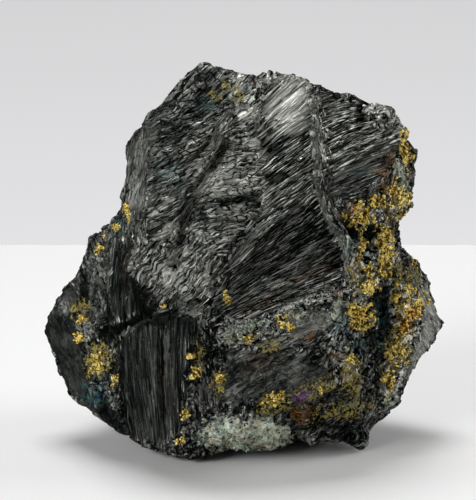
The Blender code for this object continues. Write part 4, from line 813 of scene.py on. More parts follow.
def ring_inside(outline):
    """The outline moved inwards, for the rounding between its front and its back."""
    ring = []
    for index, (across, up, depth) in enumerate(outline):
        before = outline[index - 1]
        after = outline[(index + 1) % len(outline)]
        along = Vector((after[0] - before[0], after[1] - before[1])).normalized()
        ring.append((across + along.y * EDGE_INSET, up - along.x * EDGE_INSET, depth))
    return ring


def add_sheet(mesh, rim, points, lines, faces_back):
    """Stretches triangles between the rim and the points behind or in front of it."""
    count = len(rim)
    flat = [Vector(pair) for pair in in_picture(np.array([vertex.co for vertex in rim] + points))]
    edges = [(index, (index + 1) % count) for index in range(count)]
    edges += [(count + start, count + end) for start, end in lines]
    _, _, faces, origins, _, _ = delaunay_2d_cdt(flat, edges, [list(range(count))], 1, 1e-6)
    placed = list(rim) + [mesh.verts.new(point) for point in points]
    for face in faces:
        corners = [placed[origins[corner][0]] for corner in face]
        if faces_back:
            corners.reverse()
        mesh.faces.new(corners)


def body_block():
    """The specimen's main facets as one closed mesh."""
    mesh = bmesh.new()
    rim = [mesh.verts.new(seen(*point)) for point in OUTLINE]
    ring = ring_inside(OUTLINE)
    points = []
    lines = []
    for line in FRONT_LINES.values():
        first = len(points)
        points += [seen(*point) for point in line]
        lines += [(index, index + 1) for index in range(first, len(points) - 1)]
    points += [seen(across, up, depth - EDGE_SWELL) for across, up, depth in ring]
    add_sheet(mesh, rim, points, lines, False)
    points = [Vector(point) * UNIT + LAYOUT_SHIFT for point in BACK_POINTS]
    points += [seen(across, up, depth + EDGE_SWELL) for across, up, depth in ring if up > BACK_RING_ABOVE]
    add_sheet(mesh, rim, points, [], True)
    bmesh.ops.recalc_face_normals(mesh, faces=mesh.faces[:])
    return mesh


def shuffled(cell, seed):
    """A fixed pseudo-random number between 0 and 1 for each whole-numbered cell."""
    mixed = np.full(len(cell), (seed * 0x9E3779B1) & 0xFFFFFFFF, np.uint32)
    for column, prime in zip(cell.T, (0x8DA6B343, 0xD8163841, 0xCB1AB31F)):
        mixed ^= column.astype(np.uint32) * np.uint32(prime)
    mixed ^= mixed >> np.uint32(15)
    mixed *= np.uint32(0x2C1B3C6D)
    mixed ^= mixed >> np.uint32(12)
    mixed *= np.uint32(0x297A2D39)
    mixed ^= mixed >> np.uint32(15)
    return mixed.astype(np.float32) / np.float32(0xFFFFFFFF)


def wave(points, seed=0):
    """Smooth noise between about -1 and 1, with waves of size 1."""
    base = np.floor(points).astype(np.int64)
    rest = points - base
    blend = rest * rest * rest * (rest * (rest * 6.0 - 15.0) + 10.0)
    total = np.zeros(len(points))
    for corner in np.ndindex(*(2,) * points.shape[1]):
        cell = base + corner
        away = rest - corner
        slope = sum((shuffled(cell, seed + axis) * 2.0 - 1.0) * away[:, axis] for axis in range(len(corner)))
        total += np.prod(np.where(corner, blend, 1.0 - blend), axis=1) * slope
    return total * 1.8


def rough(points, octaves, seed=0):
    """Layers of noise, each half the size and half the height of the one before."""
    return sum(wave(points * 2**layer, seed + 7 * layer) / 2**layer for layer in range(octaves))


def tilted(number, one, other):
    """Height of a grain's tilted face, from the grain's number and two ways from its middle."""
    return (number * 7.13 % 1.0 * 2.0 - 1.0) * one + (number * 31.7 % 1.0 * 2.0 - 1.0) * other


def cells(points, seed=0):
    """The grains of a broken surface, with one grain in each unit of space.

    Gives for each point how far it is inside its grain (0 at the edge), the grain's number between 0 and 1,
    and the way from the grain's middle.
    """
    base = np.floor(points).astype(np.int64)
    first = np.full(len(points), 9.0)
    second = np.full(len(points), 9.0)
    number = np.zeros(len(points))
    way = np.zeros(points.shape)
    for corner in np.ndindex(*(3,) * points.shape[1]):
        cell = base + corner - 1
        middle = np.stack([shuffled(cell, seed + axis) for axis in range(len(corner))], axis=1)
        offset = points - cell - middle
        away = np.sqrt((offset * offset).sum(axis=1))
        nearer = away < first
        second = np.where(nearer, first, np.minimum(second, away))
        number = np.where(nearer, shuffled(cell, seed + 5), number)
        way = np.where(nearer[:, None], offset, way)
        first = np.minimum(first, away)
    return second - first, number, way


def smooth_step(value, low, high):
    """0 below low, 1 above high and an even curve between."""
    share = np.clip((value - low) / (high - low), 0.0, 1.0)
    return share * share * (3.0 - 2.0 * share)


def distance_to_line(places, line):
    """How far each place in the picture is from a line of points."""
    nearest = np.full(len(places), np.inf)
    for start, end in zip(line, line[1:]):
        start, run = np.array(start), np.subtract(end, start)
        share = np.clip((places - start) @ run / (run @ run), 0.0, 1.0)
        nearest = np.minimum(nearest, np.linalg.norm(places - start - share[:, None] * run, axis=1))
    return nearest


def inside(places, region):
    """Signed distance to a region's edge, positive inside."""
    crossings = np.zeros(len(places), bool)
    for (x0, y0), (x1, y1) in zip(region, region[1:] + region[:1]):
        spans = (y0 > places[:, 1]) != (y1 > places[:, 1])
        rise = (y1 - y0) or 1e-9
        crossings ^= spans & (places[:, 0] < (x1 - x0) * (places[:, 1] - y0) / rise + x0)
    away = distance_to_line(places, region + region[:1])
    return np.where(crossings, away, -away)


def turned(places, turn):
    """Places measured along and across a direction, in degrees from level."""
    sine, cosine = math.sin(math.radians(turn)), math.cos(math.radians(turn))
    return places[:, 0] * cosine + places[:, 1] * sine, places[:, 1] * cosine - places[:, 0] * sine


def patch(places, across, up, half_across, half_up, turn):
    """1 in the middle of a leaning oval patch, 0 at its edge and negative outside."""
    along, beside = turned(places - (across, up), turn)
    along, beside = along / half_across, beside / half_up
    return 1.0 - np.sqrt(along * along + beside * beside)


def field_through(guides):
    """A smooth function of the picture that has each guide's value along that guide."""
    knots = []
    values = []
    for value, line in guides:
        for start, end in zip(line, line[1:]):
            for share in (0.0, 0.5):
                knots.append(np.add(start, np.multiply(share, np.subtract(end, start))))
                values.append(value)
        knots.append(np.array(line[-1]))
        values.append(value)
    knots = np.array(knots)

    def spread(places):
        squared = (places**2).sum(1)[:, None] + (knots**2).sum(1)[None, :] - 2.0 * places @ knots.T
        squared = np.maximum(squared, 1e-9)
        return 0.5 * squared * np.log(squared)

    flat = np.concatenate([np.ones((len(knots), 1)), knots], axis=1)
    system = np.block([[spread(knots) + 1e-3 * np.eye(len(knots)), flat], [flat.T, np.zeros((3, 3))]])
    weights = np.linalg.solve(system, np.concatenate([values, np.zeros(3)]))

    def field(places):
        return spread(places) @ weights[:-3] + weights[-3] + places @ weights[-2:]

    return field


def stepped(phase, along, zone, seed):
    """Height of the flat steps of a zone, and how near each place is to a step's edge, where shade is
    painted, from 0 to 1.
    """

    def slope_field(shift_across, shift_along):
        across = (phase + shift_across) / (STEP_ACROSS * zone["width"])
        spots = np.stack([across, (along + shift_along) / (STEP_ALONG * zone["length"])], axis=1)
        return STEPS_PER_WAVE * rough(spots, 2, seed + 23)

    here = slope_field(0.0, 0.0)
    slope = np.hypot(slope_field(0.1, 0.0) - here, slope_field(0.0, 0.1) - here) / 0.1
    part = here - np.floor(here)
    away = np.minimum(part, 1.0 - part) / np.maximum(slope, 0.3)
    height = STEP_RISE * zone["uneven"] * (np.floor(here) + smooth_step(part, 0.0, 0.25))
    return height, 1.0 - smooth_step(away, *LEDGE_WIDTH)


def grained(phase, along, zone, seed):
    """Height, number and nearness to a ledge of the grains of a zone, the fine ones on the main ones."""
    height, ledge = stepped(phase, along, zone, seed)
    numbers = []
    for layer, (size, step) in enumerate(GRAIN_LAYERS):
        spots = np.stack([phase / (zone["width"] * size), along / (zone["length"] * size)], axis=1)
        edge, number, way = cells(spots, seed + 31 * layer)
        leans = tilted(number, way[:, 0], way[:, 1])
        height += step * (zone["uneven"] * (number * 2.0 - 1.0) + zone["lean"] * 2.0 * leans)
        height -= step * zone["groove"] * (1.0 - smooth_step(edge, 0.0, 0.3))
        numbers.append(number)
    height += zone["striae"] * wave(np.stack([phase / 0.3, along / 7.0], axis=1), seed + 3)
    return height - LEDGE_DEPTH * ledge, 0.45 * numbers[0] + 0.55 * numbers[1], ledge


def zone_grain(places, zone, seed):
    """Height, number, lie, fibre and ledges of the grains of one zone, from places on its side."""
    along, phase = turned(places, zone["turn"])
    if zone["guides"]:
        phase = field_through(GUIDES[zone["guides"]])(places)
    sway = zone["waver"] * zone["width"]
    phase = phase + sway * rough(places / SWAY_SIZE, 2, seed + 11)
    along = along + 1.5 * sway * rough(places / SWAY_SIZE, 2, seed + 17)
    height, number, ledge = grained(phase, along, zone, seed)
    fibre = np.full(len(places), zone["fibre"])
    return np.stack([height, number, phase / zone["width"], along / zone["length"], fibre, ledge], axis=1)


def near_edge(places, edge, margin=1.5):
    """Numbers of the places near a line or a region, or inside it."""
    inside_box = (places > np.min(edge, axis=0) - margin) & (places < np.max(edge, axis=0) + margin)
    return np.nonzero(inside_box.all(axis=1))[0]


def in_zone(places, zone):
    """Signed distance to a zone's ragged edge, positive inside."""
    return inside(places, zone["edge"]) + ZONE_RAGGED * rough(places / 3.0, 3, 90)


def side_grain(places, side):
    """Height, number, lie, fibre and ledges of the grains of one side, with its zones worked in."""
    grain = zone_grain(places, ELSEWHERE, 1)
    for index, zone in enumerate(ZONES.values()):
        near = near_edge(places, zone["edge"])
        if zone["side"] != side or len(near) == 0:
            continue
        spots = places[near]
        share = smooth_step(in_zone(spots, zone), -ZONE_BLEND, ZONE_BLEND)
        values = zone_grain(spots, zone, 100 + 40 * index)
        grain[near, 0] += (values[:, 0] - grain[near, 0]) * share
        grain[near, 1:] = np.where(share[:, None] > 0.5, values[:, 1:], grain[near, 1:])
    return grain


def solid_grain(points):
    """The same for the sides, from points in layout units, for a break that goes in every direction."""
    warped = points + 0.5 * np.stack([wave(points / 2.4, 200 + axis) for axis in range(3)], axis=1)
    height = np.zeros(len(points))
    numbers = []
    for size, rise in SIDE_GRAINS:
        edge, number, way = cells(warped / np.array((size, size, size * 1.7)), int(size * 100))
        leans = tilted(number, way[:, 0], way[:, 2])
        height += rise * ((number * 2.0 - 1.0) + 1.4 * leans - 0.4 + 0.4 * smooth_step(edge, 0.0, 0.3))
        numbers.append(number)
    around = np.arctan2(warped[:, 1], warped[:, 0]) * SIDE_RADIUS
    number = 0.45 * numbers[0] + 0.55 * numbers[1]
    fibre = np.full(len(points), ELSEWHERE["fibre"])
    lie = around / ELSEWHERE["width"], warped[:, 2] / ELSEWHERE["length"]
    return np.stack([height, number, *lie, fibre, np.zeros(len(points))], axis=1)


def facet_tones_and_shade(places):
    """How light the ore is at each place of the front, with painted light and shade, and how calm it is."""
    light = PLAIN_LIGHT + 0.10 * wave(places / 4.0, 600)
    tones = np.stack([light, np.full(len(places), PLAIN_CALM[0])], axis=1)
    for index, (light, calm, edge) in enumerate(FACET_LIGHT_AND_SHADE.values()):
        near = near_edge(places, edge)
        spots = places[near]
        share = smooth_step(inside(spots, edge) + 0.4 * rough(spots / 1.2, 3, 610 + index), -0.25, 0.25)
        tones[near] += ((light, calm) - tones[near]) * share[:, None]
    return tones


def patches(places, ovals, seed, ragged=0.7):
    """How much each place belongs to any of a list of patches with ragged edges, from 0 to 1."""
    share = np.zeros(len(places))
    edge = ragged * rough(places / 1.1, 3, seed)
    for oval in ovals:
        share = np.maximum(share, smooth_step(patch(places, *oval) + edge, 0.0, 0.35))
    return share


def strokes_and_lumps(places, strokes, lumps):
    """Height of the cracks, ledges and lumps of one side, in layout units."""
    height = np.zeros(len(places))
    for _, line, half_width, rise in strokes:
        near = near_edge(places, line, 3.0 * half_width)
        height[near] += rise * np.exp(-((distance_to_line(places[near], line) / half_width) ** 2))
    for across, up, radius, rise in lumps:
        away = np.linalg.norm(places - np.array((across, up)), axis=1) / radius
        height += rise * np.sqrt(np.clip(1.0 - away * away, 0.0, 1.0))
    return height


def mesh_arrays(data):
    """The points and the vertex normals of a mesh."""
    points = np.empty(len(data.vertices) * 3)
    normals = np.empty(len(data.vertices) * 3)
    data.vertices.foreach_get("co", points)
    data.vertex_normals.foreach_get("vector", normals)
    return points.reshape(-1, 3), normals.reshape(-1, 3)


def sides(points, normals):
    """How much each point faces the viewer and how much it faces the back, from 0 to 1."""
    to_eye = np.array(sight()[0]) - points
    to_eye /= np.linalg.norm(to_eye, axis=1)[:, None]
    facing = np.clip((normals * to_eye).sum(axis=1) * SIDE_SHARPNESS + SIDE_REST, 0.0, 1.0)
    behind = np.clip(normals[:, 1] * SIDE_SHARPNESS, 0.0, 1.0)
    return facing, behind


def set_points(data, points):
    """Moves the points of a mesh."""
    data.vertices.foreach_set("co", points.ravel())
    data.update()


def square_on(points):
    """Where points appear when the back is seen square on, in layout units."""
    return (points - np.array(LAYOUT_SHIFT))[:, [0, 2]] / UNIT


def carve_forms(data):
    """Moves the surface to the ledges, cracks and lumps that the solid has too."""
    points, normals = mesh_arrays(data)
    facing, behind = sides(points, normals)
    height = facing * strokes_and_lumps(in_picture(points), FRONT_STROKES, FRONT_LUMPS)
    height += behind * strokes_and_lumps(square_on(points), BACK_STROKES, BACK_LUMPS)
    height += FORM_ROUGHNESS * rough(points / UNIT / FORM_SIZE, 2, 300) * (2.0 - facing)
    set_points(data, points + normals * (height * UNIT)[:, None])


def make_up(points, normals):
    """What the rock is made of at each point: its minerals from 0 to 1, its lightness, which on the front
    holds painted light and shade, and its calm.
    """
    facing, behind = sides(points, normals)
    front = facing > 0.01
    rear = behind > 0.01
    places = in_picture(points[front])
    back_places = square_on(points[rear])
    shares = {}
    for name, (ovals, back_ovals) in PATCHES.items():
        seed = 400 + 10 * len(shares)
        share = np.zeros(len(points))
        share[front] = patches(places, ovals, seed) * facing[front]
        share[rear] = np.maximum(share[rear], patches(back_places, back_ovals, seed) * behind[rear])
        shares[name] = share
    units = points / UNIT
    light = PLAIN_LIGHT + 0.14 * wave(units / 7.0, 700) + 0.08 * wave(units / 2.0, 701)
    tones = np.stack([light, np.full(len(points), PLAIN_CALM[1])], axis=1)
    tones[front] += (facet_tones_and_shade(places) - tones[front]) * facing[front, None]
    shares["light"], shares["calm"] = tones.T
    return shares


def store(data, values):
    """Keeps a number of each name on each point of a mesh, for the materials to read."""
    for name, value in values.items():
        data.attributes.new(name, "FLOAT", "POINT").data.foreach_set("value", value.astype(np.float32))


def carve_grain(data):
    """Moves the surface to its blades and plates, and stores what each point is made of."""
    points, normals = mesh_arrays(data)
    facing, behind = sides(points, normals)
    grain = solid_grain(points / UNIT)
    for side, share, places in (("back", behind, square_on(points)), ("front", facing, in_picture(points))):
        here = share > 0.01
        values = side_grain(places[here], side)
        grain[here, 0] += (values[:, 0] - grain[here, 0]) * share[here]
        grain[here, 1:] = np.where(share[here, None] > 0.5, values[:, 1:], grain[here, 1:])
    values = make_up(points, normals)
    height, values["grain"], values["across"], values["along"], values["fibre"], values["ledge"] = grain.T
    height = height * (1.0 - CALM_GROUND * values["calm"])
    set_points(data, points + normals * (height * UNIT)[:, None])
    store(data, {**values, "front": facing})


class Signal:
    """A number that varies over a material, which Python's arithmetic continues with Math nodes."""

    def __init__(self, finish, socket):
        self.finish = finish
        self.socket = socket

    def math(self, operation, other, **settings):
        """A Math node on this and another number."""
        settings["operation"] = operation
        return self.finish.node("ShaderNodeMath", settings, {0: self, 1: other})

    def __add__(self, other):
        return self.math("ADD", other)

    def __sub__(self, other):
        return self.math("SUBTRACT", other)

    def __rsub__(self, other):
        return self.finish.node("ShaderNodeMath", {"operation": "SUBTRACT"}, {0: other, 1: self})

    def __mul__(self, other):
        return self.math("MULTIPLY", other)

    def __truediv__(self, other):
        return self.math("DIVIDE", other)

    def __pow__(self, other):
        return self.math("POWER", other)

    __radd__ = __add__
    __rmul__ = __mul__

    def most(self, other):
        """The larger of the two."""
        return self.math("MAXIMUM", other)

    def within(self):
        """The same, held between 0 and 1."""
        return self.math("MULTIPLY", 1.0, use_clamp=True)


class Finish:
    """A material that is being put together around its Principled BSDF."""

    def __init__(self, name, **uniform):
        self.material = bpy.data.materials.new(name)
        self.material.use_nodes = True
        self.tree = self.material.node_tree
        self.shader = self.tree.nodes["Principled BSDF"]
        self.grains = {}
        for socket, value in uniform.items():
            self.shader.inputs[socket.replace("_", " ").title().replace("Ior", "IOR")].default_value = value

    def node(self, kind, settings, values, output=0):
        """Adds a node, and gives the signal of one of its outputs."""
        node = self.tree.nodes.new(kind)
        for setting, value in settings.items():
            setattr(node, setting, value)
        for socket, value in values.items():
            self.set(node.inputs[socket], value)
        return Signal(self, node.outputs[output])

    def set(self, socket, value):
        """Links a signal to a socket, or sets its value."""
        if isinstance(value, Signal):
            self.tree.links.new(value.socket, socket)
        else:
            socket.default_value = value

    def share(self, name):
        """What is stored under this name on the piece's points."""
        return self.node("ShaderNodeAttribute", {"attribute_name": name}, {}, "Fac")

    def place(self):
        """Where each point of the piece is."""
        return self.node("ShaderNodeTexCoord", {}, {}, "Object")

    def lie(self, across, along, waver=0.0):
        """A place on the grain of the ore, scaled across and along it and led astray by the waver."""
        if waver not in self.grains:
            place = self.node("ShaderNodeCombineXYZ", {}, {0: self.share("across"), 1: self.share("along")})
            if waver:
                values = {"Vector": place, "Scale": 2.0}
                stray = self.node("ShaderNodeTexNoise", {"noise_dimensions": "2D"}, values, 1)
                stray = self.node("ShaderNodeVectorMath", {"operation": "SCALE"}, {0: stray, "Scale": waver})
                place = self.node("ShaderNodeVectorMath", {"operation": "ADD"}, {0: place, 1: stray})
            self.grains[waver] = place
        scale = {0: self.grains[waver], 1: (across, along, 1.0)}
        return self.node("ShaderNodeVectorMath", {"operation": "MULTIPLY"}, scale)

    def streaks(self, across, along):
        """Noise from 0 to 1, drawn out along the grain of the ore."""
        values = {"Vector": self.lie(across, along), "Scale": 1.0, "Detail": 2.0, "Roughness": 0.6}
        return self.node("ShaderNodeTexNoise", {"noise_dimensions": "2D"}, values)

    def threads(self, across, along, count, width, detail=1.0, waver=0.0):
        """Thin lines along the grain of the ore, 1 in the middle of each and 0 between."""
        values = {"Vector": self.lie(across, along, waver), "Scale": 1.0, "Detail": detail}
        contour = self.node("ShaderNodeTexNoise", {"noise_dimensions": "2D"}, values) * count
        return (1.0 - contour.math("PINGPONG", 0.5) / width).within()

    def splinters(self, across, along, waver):
        """A number for each splinter of the ore, and the height of its tilted face."""
        place = self.lie(across, along, waver)
        values = {"Vector": place, "Scale": 1.0}
        colour = self.node("ShaderNodeTexVoronoi", {"voronoi_dimensions": "2D"}, values, "Color")
        middle = Signal(self, colour.socket.node.outputs["Position"])
        offset = self.node("ShaderNodeVectorMath", {"operation": "SUBTRACT"}, {0: place, 1: middle})
        slope = self.node("ShaderNodeVectorMath", {"operation": "SUBTRACT"}, {0: colour, 1: (0.5, 0.5, 0.5)})
        values = {0: offset, 1: slope}
        tilt = self.node("ShaderNodeVectorMath", {"operation": "DOT_PRODUCT"}, values, "Value")
        return self.node("ShaderNodeSeparateColor", {}, {0: colour}, 2), tilt

    def joints(self, across, along, waver, width):
        """The lines between splinters of the ore, 1 in the middle of each and 0 between."""
        settings = {"voronoi_dimensions": "2D", "feature": "DISTANCE_TO_EDGE"}
        values = {"Vector": self.lie(across, along, waver), "Scale": 1.0}
        return (1.0 - self.node("ShaderNodeTexVoronoi", settings, values, "Distance") / width).within()

    def mottle(self, size):
        """Noise from 0 to 1 with waves of this size in metres."""
        values = {"Vector": self.place(), "Scale": 1.0 / size, "Detail": 3.0, "Roughness": 0.6}
        return self.node("ShaderNodeTexNoise", {}, values)

    def specks(self, size):
        """A number from 0 to 1 for each crystal of this size in metres."""
        values = {"Vector": self.place(), "Scale": 1.0 / size}
        cell = self.node("ShaderNodeTexVoronoi", {}, values, "Color")
        return self.node("ShaderNodeSeparateColor", {}, {0: cell})

    def blend(self, low, high, factor, mode="MIX"):
        """One colour turning into another, or multiplied by it."""
        settings = {"data_type": "RGBA", "blend_type": mode}
        return self.node("ShaderNodeMix", settings, {0: factor, 6: low, 7: high}, 2)

    def bump(self, height, distance, strength=1.0):
        """Relief finer than the mesh, from a height between 0 and 1 and its distance in metres."""
        values = {"Height": height, "Distance": distance, "Strength": strength}
        self.set(self.shader.inputs["Normal"], self.node("ShaderNodeBump", {}, values))

    def paint(self, **signals):
        """Gives the shader's own sockets what varies over the surface."""
        for socket, value in signals.items():
            self.set(self.shader.inputs[socket.replace("_", " ").title()], value)


def brass_colour(finish, looks):
    """Brassy crystals, from dull olive with painted shade to pale gold with painted highlights, with an
    orange tarnish in places.
    """
    speck = finish.specks(0.00034)
    clump = finish.mottle(0.0011)
    tarnish = ((finish.mottle(0.003) - 0.5) * 2.0 + 0.9 * finish.share("amber")).within()
    gold = finish.blend(looks.brass, looks.brass_orange, tarnish)
    gold = finish.blend(gold, looks.brass_pale_highlight, ((speck + clump - 1.15) * 4.0).within())
    return finish.blend(looks.brass_tarnish_and_shade, gold, ((speck + 3.0 * clump - 1.7) * 2.4).within())


def quartz_colour(finish, looks):
    """Pale crystals, from milky to clear grey, stained beige in places."""
    speck = finish.specks(0.0003)
    stain = ((finish.mottle(0.003) - 0.5) * 5.0 + 0.5).within()
    pale = finish.blend(looks.quartz, looks.quartz_beige, stain)
    milk = ((finish.mottle(0.0012) - 0.48) * 4.0 + 0.7 * speck + 0.5 * finish.share("calm")).within()
    return finish.blend(looks.quartz_dull, pale, milk)


def ore_finish(looks):
    """Black ore with a dull metallic sheen, with the tints and crusts of the minerals grown into it."""
    finish = Finish("black ore", specular_ior_level=0.02, specular_tint=(0.4, 0.4, 0.4, 1.0))
    fibre = finish.share("fibre")
    calm = finish.share("calm")
    lively = 1.25 - 1.1 * calm

    # The ore's texture: mottling, crystals, specks for painted glints, and blades, splinters and sheets
    # along its grain
    mottle = finish.mottle(0.0009)
    speck = finish.specks(0.00038)
    coarse = finish.specks(0.0006)
    painted_glint = finish.specks(0.00026)
    streak = finish.streaks(2.6, 0.7)
    thread = fibre * finish.threads(1.0, 0.4, 4.0, 0.24)
    sliver, sliver_face = finish.splinters(3.1, 1.3, 0.3)
    splinter, splinter_face = finish.splinters(1.3, 0.9, 0.3)
    sheet, sheet_face = finish.splinters(0.5, 0.5, 0.7)
    joint = finish.joints(1.3, 1.2, 0.3, 0.2)

    # Painted shade in the gaps: furrows and joints between blades, and cracks and ledges between plates
    furrow = fibre * 0.85 * finish.threads(1.5, 0.5, 3.0, 0.3)
    crack = (1.0 - fibre) * 2.0 * finish.threads(0.5, 0.5, 2.6, 0.16, 2.0, 0.5)
    shaded_gap = lively * furrow.most(0.8 * fibre * joint)
    shaded_gap = shaded_gap.most((1.0 - calm * calm) * crack.most(finish.share("ledge")))
    shaded_gap = (shaded_gap * 1.25).within()

    # How light the ore is: its facet's lightness, which holds painted light and shade, with all that varies
    # over it, painted glints among it and painted shade in the gaps
    level = finish.share("light") + (finish.share("grain") - 0.5) * 0.2
    level = level + lively * (thread * 0.34 - 0.03 + (streak - 0.5) * (0.8 + 0.5 * fibre))
    level = level + lively * (sliver - 0.45) * (0.15 + 0.5 * fibre)
    level = level + (painted_glint - 0.94).most(0.0) * 6.0 * mottle
    level = level + lively * (
        (splinter - 0.45) * (0.3 + 0.25 * fibre) + (sheet - 0.5) * 0.35 + (mottle - 0.5) * 0.4
    )
    level = level.within() ** 2.5 * (1.0 - shaded_gap)
    colour = finish.blend(looks.ore_dark, looks.ore_light, level.within())

    # Films and tarnish over the ore
    rust = finish.share("rust")
    film = (finish.share("teal") * (1.0 - shaded_gap) * ((mottle - 0.35) * 3.0 * speck + 0.1)).within()
    green = finish.blend(looks.teal, looks.blue, ((coarse - 0.4) * 4.0).within())
    colour = finish.blend(colour, green, film)
    colour = finish.blend(colour, looks.rust, 0.6 * rust, "MULTIPLY")
    colour = finish.blend(colour, looks.bronze, (finish.share("bronze") * (speck - 0.4) * 4.0).within())
    stain = (finish.share("amber") * (1.0 - shaded_gap) * (0.2 + speck) * (mottle * 3.0 - 0.9)).within()
    colour = finish.blend(colour, looks.amber, stain)
    colour = finish.blend(colour, looks.violet, finish.share("violet") * (1.0 - shaded_gap))

    # Brassy and pale crystals grown into the ore
    gold = finish.share("brass") * 2.0 * (0.3 + 0.5 * coarse + 0.4 * mottle) - 0.6
    gold = (gold * 3.0).within()
    colour = finish.blend(colour, brass_colour(finish, looks), gold)
    milky = finish.share("pale") * 2.0 * (0.15 + 0.4 * calm + 0.6 * coarse + 0.3 * mottle) - 0.5
    milky = (milky * 3.0).within()
    colour = finish.blend(colour, quartz_colour(finish, looks), milky)
    finish.paint(
        base_color=colour,
        metallic=(1.1 * level + 0.4 * gold - milky).within(),
        roughness=(0.53 + 0.2 * calm - 0.12 * speck - 0.08 * sliver + 0.1 * rust).within(),
    )

    # Relief too fine for the mesh
    lines = 0.05 * thread + 0.04 * streak - 0.09 * shaded_gap + 0.02 * speck
    faces = (0.32 - 0.2 * fibre) * splinter_face + (0.7 - 0.4 * fibre) * sheet_face + 0.03 * splinter
    faces = faces + 0.2 * sliver_face + 0.02 * sliver - 0.05 * joint
    finish.bump(lines + faces * lively, 0.001)
    return finish.material


def brass_finish(looks):
    """Bright metallic crystals of brassy ore."""
    finish = Finish("brassy crystals", metallic=0.5, specular_ior_level=0.3)
    roughness = (0.42 - 0.2 * finish.specks(0.0005)).within()
    finish.paint(base_color=brass_colour(finish, looks), roughness=roughness)
    finish.bump(finish.mottle(0.0003), 0.00006, 0.6)
    return finish.material


def quartz_finish(looks):
    """Milky to glassy crystals of the matrix."""
    finish = Finish("pale crystals", roughness=0.22, specular_ior_level=0.6)
    finish.paint(base_color=quartz_colour(finish, looks))
    finish.bump(finish.mottle(0.0003), 0.00005, 0.5)
    return finish.material


def refined(data, name, **settings):
    """The mesh after one modifier, as new mesh data."""
    holder = bpy.data.objects.new(name, data)
    bpy.context.collection.objects.link(holder)
    if settings.get("vertex_group"):
        values = np.empty(len(data.vertices), np.float32)
        data.attributes[settings["vertex_group"]].data.foreach_get("value", values)
        group = holder.vertex_groups.new(name=settings["vertex_group"] + " group")
        settings["vertex_group"] = group.name
        group.add(np.nonzero(values > 0.5)[0].tolist(), 1.0, "REPLACE")
    modifier = holder.modifiers.new(name, settings.pop("kind"))
    for setting, value in settings.items():
        setattr(modifier, setting, value)
    evaluated = holder.evaluated_get(bpy.context.evaluated_depsgraph_get())
    result = bpy.data.meshes.new_from_object(evaluated)
    bpy.data.objects.remove(holder)
    bpy.data.meshes.remove(data)
    return result


def thinned(data, limit, kept=""):
    """The mesh with fewer triangles, as many as the limit, taken where the kept attribute is low."""
    triangles = sum(len(face.vertices) - 2 for face in data.polygons)
    if triangles <= limit:
        return data
    settings = {"vertex_group": kept, "invert_vertex_group": True} if kept else {}
    return refined(data, "thinned", kind="DECIMATE", ratio=limit / triangles, **settings)


def cut_flat(data):
    """Cuts the underside off at the ground and closes it with a flat face."""
    mesh = bmesh.new()
    mesh.from_mesh(data)
    everything = mesh.verts[:] + mesh.edges[:] + mesh.faces[:]
    bmesh.ops.bisect_plane(mesh, geom=everything, plane_co=(0, 0, 0), plane_no=(0, 0, -1), clear_outer=True)
    bmesh.ops.holes_fill(mesh, edges=[edge for edge in mesh.edges if edge.is_boundary])
    bmesh.ops.triangulate(mesh, faces=mesh.faces[:])
    mesh.to_mesh(data)
    mesh.free()


def placed_piece(name, data, material):
    """Links a finished mesh as a piece that rides on the specimen."""
    data.name = name
    data.materials.clear()
    data.materials.append(material)
    piece = bpy.data.objects.new(name, data)
    bpy.context.scene.collection.objects.link(piece)
    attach(piece, "root")
    return piece


def form_mesh():
    """The rock's main forms as one closed mesh."""
    data = bpy.data.meshes.new("block")
    block = body_block()
    block.to_mesh(data)
    block.free()
    data = refined(data, "even", kind="REMESH", mode="VOXEL", voxel_size=FORM_VOXEL)
    carve_forms(data)
    return data


def ore_mesh(body):
    """The whole rock as one closed mesh, carved from its main facets down to single blades."""
    fineness = body.fineness * 1.0
    data = refined(form_mesh(), "fine", kind="REMESH", mode="VOXEL", voxel_size=fineness)
    carve_grain(data)
    data = thinned(data, FRONT_FIRST_TRIANGLES)
    data = thinned(data, BODY_TRIANGLES, "front")
    data.attributes.remove(data.attributes["front"])
    cut_flat(data)
    data.shade_smooth()
    data.set_sharp_from_angle(angle=CREASE_ANGLE)
    return data


def ground_mesh():
    """The rock's main forms in triangles, for laying shards and grains on, with its BVH."""
    data = refined(form_mesh(), "ground", kind="REMESH", mode="VOXEL", voxel_size=FORM_VOXEL)
    data = thinned(refined(data, "triangles", kind="TRIANGULATE"), GROUND_TRIANGLES)
    points, _ = mesh_arrays(data)
    data.calc_loop_triangles()
    faces = [tuple(triangle.vertices) for triangle in data.loop_triangles]
    return data, BVHTree.FromPolygons(points.tolist(), faces)


def shard_template(cuts, end_width, end_height, top_width):
    """A long shard along X, one unit each way, with a ridge on top and thinner ends.

    Gives its corners, whose height above 0 is outside the rock, and its triangles.
    """
    mesh = bmesh.new()
    bmesh.ops.create_cube(mesh, size=2.0)
    long_edges = [edge for edge in mesh.edges if abs(edge.verts[0].co.x - edge.verts[1].co.x) > 1.0]
    bmesh.ops.subdivide_edges(mesh, edges=long_edges, cuts=cuts, use_grid_fill=True)
    for vertex in mesh.verts:
        near_end = smooth_step(abs(vertex.co.x), 0.45, 1.0)
        vertex.co.y *= 1.0 + (end_width - 1.0) * near_end
        if vertex.co.z > 0.0:
            vertex.co.y *= top_width
            vertex.co.z *= 1.0 + (end_height - 1.0) * near_end
    bmesh.ops.recalc_face_normals(mesh, faces=mesh.faces[:])
    bmesh.ops.triangulate(mesh, faces=mesh.faces[:])
    mesh.verts.ensure_lookup_table()
    corners = np.array([vertex.co for vertex in mesh.verts])
    triangles = np.array([[vertex.index for vertex in face.verts] for face in mesh.faces])
    mesh.free()
    return corners, triangles


def grain_template():
    """A rough little crystal one unit across each way, as corners and triangles."""
    mesh = bmesh.new()
    bmesh.ops.create_icosphere(mesh, subdivisions=1, radius=1.0)
    corners = np.array([vertex.co for vertex in mesh.verts])
    mesh.verts.index_update()
    triangles = np.array([[vertex.index for vertex in face.verts] for face in mesh.faces])
    mesh.free()
    return corners, triangles


